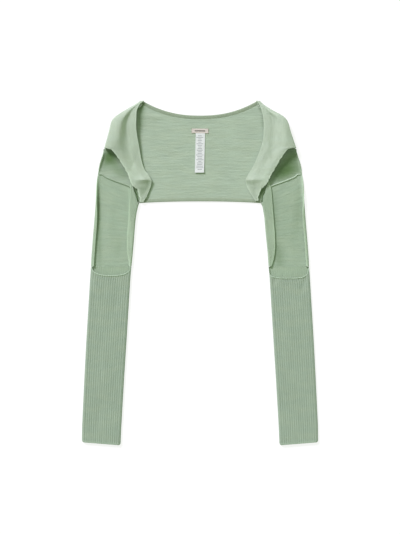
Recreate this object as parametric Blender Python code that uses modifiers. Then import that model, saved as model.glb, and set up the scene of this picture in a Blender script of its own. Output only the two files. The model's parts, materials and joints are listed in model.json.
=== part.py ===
"""Cropped knitted shrug, laid out flat with both fronts folded over the back.

Metres, +Z up. The garment lies on the plane z = 0 with its collar towards +Y
and its two long sleeves running towards -Y. The left side is at -X.
Each sewn piece is an object of its own, and neighbours keep a small gap.
"""

import math
from collections import namedtuple

import bmesh
import bpy
from mathutils import Vector

# Cloth. A gap across a diagonal seam is DIAGONAL of it along X and along Y.
CLOTH = 0.0020
BAND_CLOTH = 0.0024
SEAM_GAP = 0.0003
BAND_SEAM_GAP = 0.0007
LABEL_CLOTH = 0.0008
DIAGONAL = 0.7
WELD_DISTANCE = 0.00001

# Front bands, narrower along the lower hem of each front. At the neck point
# a band takes at most BAND_SHARE of the top layer's width.
FRONT_BAND_WIDTH = 0.0165
FRONT_HEM_WIDTH = 0.0070
BAND_SHARE = 0.60
BAND_TURN_START_Y = 0.2220
BAND_TURN_END_Y = 0.1960

# Rolled bands at the back neck and along the hem, which thin out at their ends
EDGE_BAND_WIDTH = 0.0070
EDGE_BAND_HEIGHT = 0.0032
BAND_TAPER = 0.0200
LEAN_STEP = 0.0005
NECK_BAND_STEPS = 26
HEM_BAND_STEPS = 20

# Collar and hem lines of the back, as centre height and rise at the side
NECK_CENTRE_Y = 0.3530
NECK_RISE = 0.0330
NECK_HALF_WIDTH = 0.1290
NECK_BAND_END_X = 0.1251
NECK_BAND_END_HEIGHT = 0.0022
HEM_BAND_END_X = 0.1387
HEM_CENTRE_Y = 0.1600
HEM_RISE = -0.0040
HEM_HALF_WIDTH = 0.1360
LINE_POWER = 2.3

# Shoulder fold, from the shoulder seam on the table up to the top layer
WRAP_UNDER = 0.0100
FOLD_REACH_BASE = 0.0012
FOLD_REACH_SHARE = 0.30
FOLD_REACH_MOST = 0.0080
WRAP_STEPS = 8
TOP_SAMPLES = 24

# Free edge of the back layer beside the arm cut-out
BACK_LIP_LENGTH = 0.0084
LIP_STEPS = 4

# Upper sleeve: its free outer lip turns over more towards the ribbing
SLEEVE_LIP_LENGTH = 0.0094
LIP_ANGLE_TOP = 3.0
LIP_ANGLE_MOUTH = 178.0
LIP_FLAT_MOUTH = 0.0040
LIP_TURN_RATE = 1.7
SLEEVE_FOLD_HEIGHT = 0.0064
SLEEVE_FOLD_REACH = 0.0032
SLEEVE_FOLD_STEPS = 6
STRIP_EDGE_Z = 0.0052
STRIP_STEPS = 3
SEAM_FADE_POWER = 4

# Ribbed sleeve
TUBE_HEIGHT = 0.0058
RIB_COUNT = 17
RIB_RELIEF = 0.0008
RIB_PROFILE = (0.0, 0.8, 1.0, 0.8)
TUBE_UNDER_STEPS = 6
TUBE_SIDE_STEPS = 4
MOUTH_POWER = 2.6

# Labels sewn inside the back neck
NECK_LABEL_SIZE = (0.0380, 0.0105)
NECK_LABEL_TOP_Y = 0.3235
NECK_LABEL_STEPS = 4
CARE_LABEL_SIZE = (0.0210, 0.0885)
CARE_LABEL_LEAN = 0.0022
CARE_LABEL_STEPS = (2, 6)

LEFT = -1
RIGHT = 1

FrontRow = namedtuple("FrontRow", "edge_x edge_y neck_x neck_y crown dip neck_z")
SleeveRow = namedtuple("SleeveRow", "outer_x outer_y inner_x inner_y strip_x strip_y")
TubeRow = namedtuple("TubeRow", "outer_x outer_y inner_x inner_y mouth_share")
PlanPoint = namedtuple("PlanPoint", "x y")
EdgePoint = namedtuple("EdgePoint", "x y curl_degrees")
BandSpot = namedtuple("BandSpot", "width_share height_share")

# Section of a rolled band, from its free edge over the top to the panel
BAND_SECTION = (
    BandSpot(0.00, 0.25),
    BandSpot(0.00, 0.70),
    BandSpot(0.22, 1.00),
    BandSpot(0.72, 1.00),
    BandSpot(1.00, 0.65),
    BandSpot(1.00, 0.00),
    BandSpot(0.12, 0.00),
)

# Rows of each front from the neck point down to its lower tip. The first
# FOLDED_ROWS rows wrap round the shoulder, the rest end at the arm cut-out.
FOLDED_ROWS = 8
FRONT_ROWS = {
    LEFT: (
        FrontRow(-0.1350, 0.3860, -0.1255, 0.3860, 0.0054, 0.0054, 0.0054),
        FrontRow(-0.1440, 0.3790, -0.1345, 0.3785, 0.0085, 0.0085, 0.0085),
        FrontRow(-0.1665, 0.3655, -0.1415, 0.3635, 0.0140, 0.0115, 0.0115),
        FrontRow(-0.1870, 0.3520, -0.1425, 0.3475, 0.0180, 0.0120, 0.0130),
        FrontRow(-0.1980, 0.3400, -0.1430, 0.3330, 0.0205, 0.0120, 0.0130),
        FrontRow(-0.2030, 0.3220, -0.1425, 0.3185, 0.0215, 0.0115, 0.0120),
        FrontRow(-0.2090, 0.2990, -0.1395, 0.2980, 0.0210, 0.0105, 0.0105),
        FrontRow(-0.2150, 0.2790, -0.1365, 0.2825, 0.0200, 0.0100, 0.0090),
        FrontRow(-0.1980, 0.2750, -0.1345, 0.2690, 0.0190, 0.0095, 0.0080),
        FrontRow(-0.1870, 0.2620, -0.1320, 0.2555, 0.0170, 0.0090, 0.0070),
        FrontRow(-0.1780, 0.2480, -0.1285, 0.2420, 0.0150, 0.0085, 0.0065),
        FrontRow(-0.1690, 0.2340, -0.1235, 0.2295, 0.0130, 0.0090, 0.0065),
        FrontRow(-0.1615, 0.2195, -0.1160, 0.2195, 0.0115, 0.0100, 0.0075),
        FrontRow(-0.1575, 0.2080, -0.1085, 0.2070, 0.0115, 0.0125, 0.0085),
        FrontRow(-0.1510, 0.1945, -0.1105, 0.1940, 0.0100, 0.0095, 0.0060),
        FrontRow(-0.1410, 0.1875, -0.1145, 0.1830, 0.0085, 0.0075, 0.0055),
        FrontRow(-0.1370, 0.1720, -0.1200, 0.1700, 0.0074, 0.0070, 0.0063),
        FrontRow(-0.1345, 0.1585, -0.1275, 0.1575, 0.0066, 0.0065, 0.0064),
    ),
    RIGHT: (
        FrontRow(0.1350, 0.3860, 0.1260, 0.3860, 0.0054, 0.0054, 0.0054),
        FrontRow(0.1420, 0.3785, 0.1325, 0.3780, 0.0080, 0.0080, 0.0080),
        FrontRow(0.1610, 0.3655, 0.1380, 0.3640, 0.0130, 0.0100, 0.0085),
        FrontRow(0.1850, 0.3520, 0.1420, 0.3475, 0.0170, 0.0110, 0.0085),
        FrontRow(0.1965, 0.3390, 0.1430, 0.3330, 0.0195, 0.0110, 0.0085),
        FrontRow(0.2025, 0.3190, 0.1430, 0.3185, 0.0205, 0.0110, 0.0085),
        FrontRow(0.2090, 0.2990, 0.1415, 0.2980, 0.0205, 0.0105, 0.0080),
        FrontRow(0.2160, 0.2790, 0.1375, 0.2825, 0.0200, 0.0105, 0.0075),
        FrontRow(0.1965, 0.2760, 0.1325, 0.2690, 0.0190, 0.0100, 0.0070),
        FrontRow(0.1860, 0.2630, 0.1270, 0.2555, 0.0170, 0.0095, 0.0065),
        FrontRow(0.1765, 0.2480, 0.1210, 0.2420, 0.0150, 0.0090, 0.0065),
        FrontRow(0.1685, 0.2340, 0.1140, 0.2295, 0.0130, 0.0095, 0.0065),
        FrontRow(0.1600, 0.2195, 0.1075, 0.2195, 0.0115, 0.0100, 0.0070),
        FrontRow(0.1545, 0.2090, 0.1020, 0.2070, 0.0115, 0.0115, 0.0080),
        FrontRow(0.1480, 0.1970, 0.1045, 0.1945, 0.0100, 0.0090, 0.0060),
        FrontRow(0.1385, 0.1890, 0.1100, 0.1840, 0.0085, 0.0075, 0.0055),
        FrontRow(0.1320, 0.1740, 0.1180, 0.1710, 0.0074, 0.0070, 0.0063),
        FrontRow(0.1305, 0.1610, 0.1245, 0.1600, 0.0066, 0.0065, 0.0064),
    ),
}
CORNER_ROWS = (0, 7, 8, 13, 15, 17)
DIP_PLACE = 0.62
FRONT_COLUMNS = 7
BAND_COLUMNS = 3

# Armhole seam of the left side on the back layer, from the arm to the hem
ARMHOLE_SEAM = (
    PlanPoint(-0.2295, 0.2210),
    PlanPoint(-0.2190, 0.2205),
    PlanPoint(-0.2140, 0.2155),
    PlanPoint(-0.2025, 0.2100),
    PlanPoint(-0.1800, 0.2015),
    PlanPoint(-0.1610, 0.1945),
    PlanPoint(-0.1485, 0.1845),
    PlanPoint(-0.1405, 0.1710),
    PlanPoint(-0.1396, 0.1575),
)

# Free edge of the back layer, left side, from the armhole seam to the shoulder
BACK_FREE_EDGE = (
    EdgePoint(-0.2280, 0.2340, 55.0),
    EdgePoint(-0.2245, 0.2480, 80.0),
    EdgePoint(-0.2205, 0.2600, 75.0),
    EdgePoint(-0.2188, 0.2665, 40.0),
    EdgePoint(-0.2172, 0.2730, 0.0),
    EdgePoint(-0.2160, 0.2780, 0.0),
)
FLAT_CURL = 2.0
BACK_COLUMNS = 16

# Upper sleeve rows from the armhole seam down to the ribbing
SLEEVE_ROWS = {
    LEFT: (
        SleeveRow(-0.2295, 0.2203, -0.1365, 0.1553, -0.1545, 0.2050),
        SleeveRow(-0.2315, 0.2080, -0.1390, 0.1485, -0.1570, 0.1920),
        SleeveRow(-0.2330, 0.1810, -0.1420, 0.1360, -0.1575, 0.1700),
        SleeveRow(-0.2350, 0.1495, -0.1440, 0.1225, -0.1595, 0.1450),
        SleeveRow(-0.2375, 0.1180, -0.1460, 0.1045, -0.1615, 0.1135),
        SleeveRow(-0.2405, 0.0820, -0.1480, 0.0775, -0.1640, 0.0800),
        SleeveRow(-0.2430, 0.0505, -0.1505, 0.0485, -0.1640, 0.0505),
        SleeveRow(-0.2445, 0.0280, -0.1525, 0.0270, -0.1610, 0.0285),
        SleeveRow(-0.2450, 0.0140, -0.1540, 0.0140, -0.1595, 0.0140),
    ),
    RIGHT: (
        SleeveRow(0.2295, 0.2203, 0.1365, 0.1553, 0.1530, 0.2060),
        SleeveRow(0.2315, 0.2080, 0.1400, 0.1485, 0.1590, 0.1920),
        SleeveRow(0.2330, 0.1810, 0.1425, 0.1360, 0.1615, 0.1700),
        SleeveRow(0.2350, 0.1495, 0.1445, 0.1225, 0.1635, 0.1450),
        SleeveRow(0.2375, 0.1180, 0.1460, 0.1045, 0.1660, 0.1135),
        SleeveRow(0.2405, 0.0820, 0.1485, 0.0775, 0.1685, 0.0800),
        SleeveRow(0.2430, 0.0505, 0.1515, 0.0485, 0.1685, 0.0505),
        SleeveRow(0.2445, 0.0280, 0.1530, 0.0270, 0.1650, 0.0285),
        SleeveRow(0.2450, 0.0140, 0.1540, 0.0140, 0.1605, 0.0140),
    ),
}

# Ribbed sleeve rows of the left side, from the mouth down to the cuff
TUBE_ROWS = (
    TubeRow(-0.2450, 0.0134, -0.1540, 0.0134, 1.00),
    TubeRow(-0.2462, -0.0010, -0.1555, -0.0010, 0.62),
    TubeRow(-0.2475, -0.0215, -0.1570, -0.0215, 0.20),
    TubeRow(-0.2555, -0.1520, -0.1650, -0.1520, 0.0),
    TubeRow(-0.2595, -0.2285, -0.1700, -0.2295, 0.0),
    TubeRow(-0.2650, -0.3430, -0.1770, -0.3490, 0.0),
    TubeRow(-0.2655, -0.3805, -0.1785, -0.3870, 0.0),
)
MOUTH_DEPTH = {LEFT: 0.0205, RIGHT: 0.0265}

# Finish
KNIT_COLOUR = (0.40, 0.52, 0.38, 1.0)
RIB_COLOUR = (0.31, 0.42, 0.29, 1.0)
NECK_LABEL_COLOUR = (0.66, 0.58, 0.50, 1.0)
CARE_LABEL_COLOUR = (0.84, 0.86, 0.85, 1.0)
CLOTH_ROUGHNESS = 0.95
LABEL_ROUGHNESS = 0.7


def clear_scene():
    for old in list(bpy.data.objects):
        bpy.data.objects.remove(old, do_unlink=True)


def make_collection(name):
    collection = bpy.data.collections.new(name)
    bpy.context.scene.collection.children.link(collection)
    return collection


def make_material(name, colour, roughness):
    material = bpy.data.materials.new(name)
    material.use_nodes = True
    shader = material.node_tree.nodes["Principled BSDF"]
    shader.inputs["Base Color"].default_value = colour
    shader.inputs["Roughness"].default_value = roughness
    shader.inputs["Metallic"].default_value = 0.0
    return material


def mix(first, second, share):
    return first + (second - first) * share


def ease(share):
    share = min(max(share, 0.0), 1.0)
    return 0.5 - 0.5 * math.cos(math.pi * share)


def steps(count):
    return [index / count for index in range(count + 1)]


def neck_line(x):
    return NECK_CENTRE_Y + NECK_RISE * abs(x / NECK_HALF_WIDTH) ** LINE_POWER


def hem_line(x):
    return HEM_CENTRE_Y + HEM_RISE * abs(x / HEM_HALF_WIDTH) ** LINE_POWER


def add_between(rows):
    """Puts a row between each two front rows, by the four-point rule for smooth curves.

    Corners stay sharp at CORNER_ROWS, and no row is added where the fold ends.
    """
    refined = []
    for index, (row, after) in enumerate(zip(rows, rows[1:])):
        refined.append(row)
        if index == FOLDED_ROWS - 1:
            continue
        before = row if index in CORNER_ROWS else rows[index - 1]
        beyond = after if index + 1 in CORNER_ROWS else rows[index + 2]
        values = []
        for first, second, third, fourth in zip(before, row, after, beyond):
            values.append((9.0 * (second + third) - first - fourth) / 16.0)
        refined.append(FrontRow(*values))
    refined.append(rows[-1])
    return refined


FRONTS = {side: add_between(rows) for side, rows in FRONT_ROWS.items()}
FOLDED = 2 * FOLDED_ROWS - 1


def along(points, distances):
    """Points at the given distances along a line of points."""
    lengths = [0.0]
    for first, second in zip(points, points[1:]):
        lengths.append(lengths[-1] + (second - first).length)
    found = []
    for distance in distances:
        index = 1
        while index < len(points) - 1 and lengths[index] < distance:
            index += 1
        span = lengths[index] - lengths[index - 1]
        share = min(max((distance - lengths[index - 1]) / span, 0.0), 1.0)
        found.append(points[index - 1].lerp(points[index], share))
    return found


def line_length(points):
    return sum((second - first).length for first, second in zip(points, points[1:]))


def curled_edge(tip, outward, length, degrees, flat, count):
    """A free edge that turns up from the table, given from the table outwards."""
    angle = math.radians(degrees)
    radius = length / angle
    base = tip - outward * (radius * math.sin(min(angle, math.pi / 2)))
    points = []
    for share in steps(count):
        turn = angle * share
        rise = radius * (1.0 - math.cos(turn))
        points.append(base + outward * (radius * math.sin(turn)) + Vector((0, 0, rise)))
    last = outward * math.cos(angle) + Vector((0, 0, math.sin(angle)))
    points.append(points[-1] + last * flat)
    return points


def add_sheet(mesh_data, rows, flip):
    """Adds a grid of quads through rows of points."""
    grid = [[mesh_data.verts.new(point) for point in row] for row in rows]
    for upper, lower in zip(grid, grid[1:]):
        for column in range(len(upper) - 1):
            corners = [upper[column], upper[column + 1], lower[column + 1], lower[column]]
            if flip:
                corners.reverse()
            mesh_data.faces.new(corners)


def finish_object(name, mesh_data, material, collection):
    mesh = bpy.data.meshes.new(name)
    mesh_data.to_mesh(mesh)
    mesh_data.free()
    mesh.materials.append(material)
    mesh.shade_smooth()
    piece = bpy.data.objects.new(name, mesh)
    collection.objects.link(piece)
    return piece


def make_cloth(name, sheets, flip, thickness, material, collection):
    """A cloth piece from one or more joined sheets, thickened to its inner side."""
    mesh_data = bmesh.new()
    for rows in sheets:
        add_sheet(mesh_data, rows, flip)
    bmesh.ops.remove_doubles(mesh_data, verts=mesh_data.verts, dist=WELD_DISTANCE)
    piece = finish_object(name, mesh_data, material, collection)
    wall = piece.modifiers.new("Cloth", "SOLIDIFY")
    wall.thickness = thickness
    wall.offset = -1.0
    wall.use_quality_normals = True
    return piece


def make_bar(name, rings, material, collection):
    """A solid strip through closed rings of points, capped at both ends."""
    mesh_data = bmesh.new()
    grid = [[mesh_data.verts.new(point) for point in ring] for ring in rings]
    count = len(grid[0])
    for ring, after in zip(grid, grid[1:]):
        for index in range(count):
            other = (index + 1) % count
            mesh_data.faces.new((ring[index], ring[other], after[other], after[index]))
    mesh_data.faces.new(list(reversed(grid[0])))
    mesh_data.faces.new(grid[-1])
    bmesh.ops.recalc_face_normals(mesh_data, faces=mesh_data.faces)
    return finish_object(name, mesh_data, material, collection)


def make_tube(name, outer_rings, inner_rings, material, collection):
    """A cloth tube between outer and inner rings, open at both ends."""
    mesh_data = bmesh.new()
    outer = [[mesh_data.verts.new(point) for point in ring] for ring in outer_rings]
    inner = [[mesh_data.verts.new(point) for point in ring] for ring in inner_rings]
    count = len(outer[0])
    for index in range(count):
        other = (index + 1) % count
        for grid in (outer, inner):
            for ring, after in zip(grid, grid[1:]):
                mesh_data.faces.new((ring[index], ring[other], after[other], after[index]))
        for end in (0, -1):
            mesh_data.faces.new((outer[end][index], outer[end][other],
                                 inner[end][other], inner[end][index]))
    bmesh.ops.recalc_face_normals(mesh_data, faces=mesh_data.faces)
    return finish_object(name, mesh_data, material, collection)


def front_outward(side, index):
    """Plan direction that points out of the garment at a folded row."""
    if index == FOLDED - 1:
        return Vector((float(side), 0.0, 0.0))
    before = FRONTS[side][max(index - 2, 0)]
    after = FRONTS[side][min(index + 2, FOLDED - 1)]
    run = Vector((after.edge_x - before.edge_x, after.edge_y - before.edge_y, 0.0))
    return Vector((-run.y, run.x, 0.0)).normalized() * side


def shoulder_seam_point(side, index):
    """End of the front's wrap on the table, where the back panel takes over."""
    if index % 2:
        first = shoulder_seam_point(side, index - 1)
        return first.lerp(shoulder_seam_point(side, index + 1), 0.5)
    row = FRONTS[side][index]
    edge = Vector((row.edge_x, row.edge_y, 0.0))
    return edge - front_outward(side, index) * WRAP_UNDER


def front_wrap(side, index):
    """Section of the shoulder fold from its seam on the table to its top."""
    row = FRONTS[side][index]
    outward = front_outward(side, index)
    edge = Vector((row.edge_x, row.edge_y, 0.0))
    reach = min(row.crown * FOLD_REACH_SHARE + FOLD_REACH_BASE, FOLD_REACH_MOST)
    centre = edge - outward * reach
    points = [shoulder_seam_point(side, index)]
    for share in steps(WRAP_STEPS):
        turn = math.pi * (share - 0.5)
        rise = 0.5 * row.crown * (1.0 + math.sin(turn))
        points.append(centre + outward * (reach * math.cos(turn)) + Vector((0, 0, rise)))
    return points


def front_top(side, index):
    """Section of the top layer, from the fold or cut-out edge to the neck edge."""
    row = FRONTS[side][index]
    if index < FOLDED:
        start = front_wrap(side, index)[-1]
    else:
        start = Vector((row.edge_x, row.edge_y, row.crown))
    end = Vector((row.neck_x, row.neck_y, row.neck_z))
    points = []
    for share in steps(TOP_SAMPLES):
        point = start.lerp(end, share)
        if share < DIP_PLACE:
            point.z = mix(row.crown, row.dip, ease(share / DIP_PLACE))
        else:
            rest = (share - DIP_PLACE) / (1.0 - DIP_PLACE)
            point.z = mix(row.dip, row.neck_z, ease(rest))
        points.append(point)
    return points


def band_width(side, index, length):
    """Width of the front band, narrower along the lower hem and at the neck point."""
    row = FRONTS[side][index]
    turn = (BAND_TURN_START_Y - row.neck_y) / (BAND_TURN_START_Y - BAND_TURN_END_Y)
    return min(mix(FRONT_BAND_WIDTH, FRONT_HEM_WIDTH, ease(turn)), length * BAND_SHARE)


def make_front(side, word, material, collection):
    """A front with its shoulder fold, and the band along its neck edge."""
    top_rows = []
    wrap_rows = []
    band_rows = []
    for index in range(len(FRONTS[side])):
        section = list(reversed(front_top(side, index)))
        length = line_length(section)
        width = band_width(side, index, length)
        band_rows.append(list(reversed(along(section, [width * s for s in steps(BAND_COLUMNS)]))))
        start = width + BAND_SEAM_GAP
        distances = [mix(start, length, s) for s in steps(FRONT_COLUMNS)]
        top_rows.append(list(reversed(along(section, distances))))
        if index < FOLDED:
            wrap_rows.append(front_wrap(side, index))
    flip = side == LEFT
    make_cloth(word + "_front", (top_rows, wrap_rows), flip, CLOTH, material, collection)
    make_cloth(word + "_front_band", (band_rows,), flip, BAND_CLOTH, material, collection)


def back_side_points(side):
    """Side line of the back panel from the hem to the collar, with its curl."""
    away = Vector((-side, 1.0, 0.0)) * (SEAM_GAP * DIAGONAL)
    points = []
    for spot in reversed(ARMHOLE_SEAM[1:]):
        points.append((Vector((-side * spot.x, spot.y, 0.0)) + away, 0.0))
    hem_corner = points[0][0]
    hem_corner.y = hem_line(hem_corner.x) + EDGE_BAND_WIDTH + SEAM_GAP
    top = ARMHOLE_SEAM[0]
    points.append((Vector((-side * top.x, top.y + SEAM_GAP, 0.0)), 0.0))
    for spot in BACK_FREE_EDGE:
        points.append((Vector((-side * spot.x, spot.y, 0.0)), spot.curl_degrees))
    for index in reversed(range(0, FOLDED, 2)):
        seam = shoulder_seam_point(side, index)
        points.append((seam - front_outward(side, index) * SEAM_GAP, 0.0))
        if index == FOLDED - 1:
            points[-1][0].y -= SEAM_GAP
    neck_corner = points[-1][0]
    neck_corner.y = min(neck_corner.y - SEAM_GAP, back_top_line(neck_corner.x))
    return points


def back_top_line(x):
    slope = NECK_RISE * LINE_POWER / NECK_HALF_WIDTH * abs(x / NECK_HALF_WIDTH) ** (LINE_POWER - 1)
    return neck_line(x) - (EDGE_BAND_WIDTH + SEAM_GAP) * math.sqrt(1.0 + slope * slope)


def make_back_panel(material, collection):
    left = back_side_points(LEFT)
    right = back_side_points(RIGHT)
    bottom = HEM_CENTRE_Y + EDGE_BAND_WIDTH + SEAM_GAP
    top = back_top_line(0.0)
    rows = []
    for index, ((left_end, left_curl), (right_end, right_curl)) in enumerate(zip(left, right)):
        side_share = (left_end.y - left[0][0].y) / (left[-1][0].y - left[0][0].y)
        row_share = index / (len(left) - 1)
        centre_y = mix(bottom, top, mix(side_share, row_share, 0.5))
        left_lip = side_lip(left_end, Vector((-1.0, 0.0, 0.0)), left_curl)
        right_lip = side_lip(right_end, Vector((1.0, 0.0, 0.0)), right_curl)
        row = list(reversed(left_lip))
        for share in steps(BACK_COLUMNS)[1:-1]:
            row.append(left_lip[0].lerp(right_lip[0], share))
        row.extend(right_lip)
        for point in row:
            end = left_end if point.x < 0.0 else right_end
            share = min(abs(point.x / end.x), 1.0)
            point.y = mix(centre_y, end.y, share ** LINE_POWER)
        rows.append(row)
    make_cloth("back_panel", (rows,), True, CLOTH, material, collection)


def side_lip(end, outward, curl):
    """Last few points of a back row, flat along a seam or curled up at a free edge."""
    degrees = max(curl, FLAT_CURL)
    points = curled_edge(end, outward, BACK_LIP_LENGTH, degrees, 0.0, LIP_STEPS)[:-1]
    if curl == 0.0:
        for point in points:
            point.z = 0.0
    return points


def edge_band_ring(x, line, inward, lean, tall):
    """Cross section of a narrow rolled band at one place along the back."""
    across = Vector((-lean, 1.0, 0.0)).normalized() * (EDGE_BAND_WIDTH * inward)
    edge = Vector((x, line(x), 0.0))
    ring = []
    for spot in BAND_SECTION:
        ring.append(edge + across * spot.width_share + Vector((0, 0, tall * spot.height_share)))
    return ring


def make_edge_band(name, line, half_width, inward, count, material, collection):
    """A rolled band along a line of the back, on its inward side (1 is towards +Y)."""
    rings = []
    for share in steps(count):
        x = mix(-half_width, half_width, share)
        lean = (line(x + LEAN_STEP) - line(x - LEAN_STEP)) / (2.0 * LEAN_STEP)
        level = ease((half_width - abs(x)) / BAND_TAPER)
        tall = mix(NECK_BAND_END_HEIGHT, EDGE_BAND_HEIGHT, level)
        rings.append(edge_band_ring(x, line, inward, lean, tall))
    make_bar(name, rings, material, collection)


def sleeve_section(side, index):
    """One row of the upper sleeve, from its free lip round to the strip's edge."""
    rows = SLEEVE_ROWS[side]
    row = rows[index]
    share = index / (len(rows) - 1)
    turned = ease(share * LIP_TURN_RATE)
    outward = Vector((float(side), 0.0, 0.0))
    tip = Vector((row.outer_x, row.outer_y, 0.0))
    lip = curled_edge(tip, outward, SLEEVE_LIP_LENGTH, mix(LIP_ANGLE_TOP, LIP_ANGLE_MOUTH, turned),
                      mix(0.0, LIP_FLAT_MOUTH, turned), LIP_STEPS)
    fold_tip = Vector((row.inner_x, row.inner_y, 0.0))
    centre = fold_tip + outward * SLEEVE_FOLD_REACH
    flat = []
    base = lip[0]
    count = len(ARMHOLE_SEAM) - 1
    away = Vector((side, -1.0, 0.0)) * (SEAM_GAP * DIAGONAL)
    for number, spot in enumerate(ARMHOLE_SEAM):
        point = base.lerp(centre, number / count)
        if 0 < number < count:
            seam = Vector((-side * spot.x, spot.y, 0.0)) + away
            point = point.lerp(seam, (1.0 - share) ** SEAM_FADE_POWER)
        flat.append(point)
    fold = []
    for step in steps(SLEEVE_FOLD_STEPS)[1:]:
        turn = math.pi * (step - 0.5)
        rise = 0.5 * SLEEVE_FOLD_HEIGHT * (1.0 + math.sin(turn))
        fold.append(centre - outward * (SLEEVE_FOLD_REACH * math.cos(turn)) + Vector((0, 0, rise)))
    edge = Vector((row.strip_x, row.strip_y, STRIP_EDGE_Z))
    strip = [fold[-1].lerp(edge, step) for step in steps(STRIP_STEPS)[1:]]
    return list(reversed(lip))[:-1] + flat + fold + strip


def make_upper_sleeve(side, word, material, collection):
    rows = [sleeve_section(side, index) for index in range(len(SLEEVE_ROWS[side]))]
    make_cloth(word + "_upper_sleeve", (rows,), side == RIGHT, CLOTH, material, collection)


def tube_ring(side, row, wall):
    """One ring of the ribbed sleeve. The wall is 0 for the outside, else the cloth."""
    outer = Vector((-side * row.outer_x, row.outer_y, 0.0))
    inner = Vector((-side * row.inner_x, row.inner_y, 0.0))
    across = (inner - outer).normalized()
    half = 0.5 * TUBE_HEIGHT - wall
    start = outer + across * (0.5 * TUBE_HEIGHT)
    end = inner - across * (0.5 * TUBE_HEIGHT)
    middle = Vector((0, 0, 0.5 * TUBE_HEIGHT))
    spots = []
    for share in steps(TUBE_UNDER_STEPS):
        spots.append((start.lerp(end, share) + middle - Vector((0, 0, half)), share, 0.0))
    for share in steps(TUBE_SIDE_STEPS)[1:-1]:
        turn = math.pi * (share - 0.5)
        side_point = across * math.cos(turn) + Vector((0, 0, math.sin(turn)))
        spots.append((end + middle + side_point * half, 1.0, 0.0))
    count = RIB_COUNT * len(RIB_PROFILE)
    for number in range(count + 1):
        share = 1.0 - number / count
        relief = RIB_PROFILE[number % len(RIB_PROFILE)] * RIB_RELIEF if wall == 0.0 else 0.0
        top = start.lerp(end, share) + middle + Vector((0, 0, half + relief))
        spots.append((top, share, 1.0))
    for share in steps(TUBE_SIDE_STEPS)[1:-1]:
        turn = math.pi * (0.5 + share)
        side_point = across * math.cos(turn) + Vector((0, 0, math.sin(turn)))
        spots.append((start + middle + side_point * half, 0.0, 0.0))
    ring = []
    for point, place, on_top in spots:
        bow = max(1.0 - abs(2.0 * place - 1.0) ** MOUTH_POWER, 0.0) ** 0.5
        point.y -= MOUTH_DEPTH[side] * row.mouth_share * bow * on_top
        ring.append(point)
    return ring


def make_ribbed_sleeve(side, word, material, collection):
    outer_rings = [tube_ring(side, row, 0.0) for row in TUBE_ROWS]
    inner_rings = [tube_ring(side, row, CLOTH) for row in TUBE_ROWS]
    make_tube(word + "_ribbed_sleeve", outer_rings, inner_rings, material, collection)


def make_labels(neck_material, care_material, collection):
    base_z = CLOTH + SEAM_GAP
    width, height = NECK_LABEL_SIZE
    bottom = NECK_LABEL_TOP_Y - height
    rows = []
    for y in (bottom, NECK_LABEL_TOP_Y):
        shares = steps(NECK_LABEL_STEPS)
        rows.append([Vector((mix(-0.5, 0.5, s) * width, y, base_z)) for s in shares])
    make_cloth("neck_label", (rows,), True, LABEL_CLOTH, neck_material, collection)
    width, height = CARE_LABEL_SIZE
    across, down = CARE_LABEL_STEPS
    rows = []
    for share in steps(down):
        y = mix(bottom - SEAM_GAP - height, bottom - SEAM_GAP, share)
        shift = CARE_LABEL_LEAN * (share - 0.5)
        rows.append([Vector((mix(-0.5, 0.5, s) * width + shift, y, base_z)) for s in steps(across)])
    make_cloth("care_label", (rows,), True, LABEL_CLOTH, care_material, collection)


def build():
    clear_scene()
    shrug = make_collection("knitted_shrug")
    knit = make_material("green_knit", KNIT_COLOUR, CLOTH_ROUGHNESS)
    rib = make_material("green_rib_knit", RIB_COLOUR, CLOTH_ROUGHNESS)
    woven = make_material("beige_woven_label", NECK_LABEL_COLOUR, LABEL_ROUGHNESS)
    satin = make_material("white_satin_label", CARE_LABEL_COLOUR, LABEL_ROUGHNESS)
    make_back_panel(knit, shrug)
    make_edge_band("back_neck_band", neck_line, NECK_BAND_END_X, -1.0, NECK_BAND_STEPS, knit, shrug)
    make_edge_band("hem_band", hem_line, HEM_BAND_END_X, 1.0, HEM_BAND_STEPS, knit, shrug)
    for side, word in ((LEFT, "left"), (RIGHT, "right")):
        make_front(side, word, knit, shrug)
        make_upper_sleeve(side, word, knit, shrug)
        make_ribbed_sleeve(side, word, rib, shrug)
    make_labels(woven, satin, shrug)


build()
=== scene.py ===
"""Looks of a cropped knitted shrug, laid out flat: cloth shells, knit materials, labels, light.

Metres, +Z up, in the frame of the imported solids. The garment lies on z = 0 with its
collar towards +Y and its cuffs towards -Y. LEFT is at -X. Each shell stands for one
solid and is made from the same sizes and tables, in finer steps. The file is laid
out as an add-on and is run as a script.
"""

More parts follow.
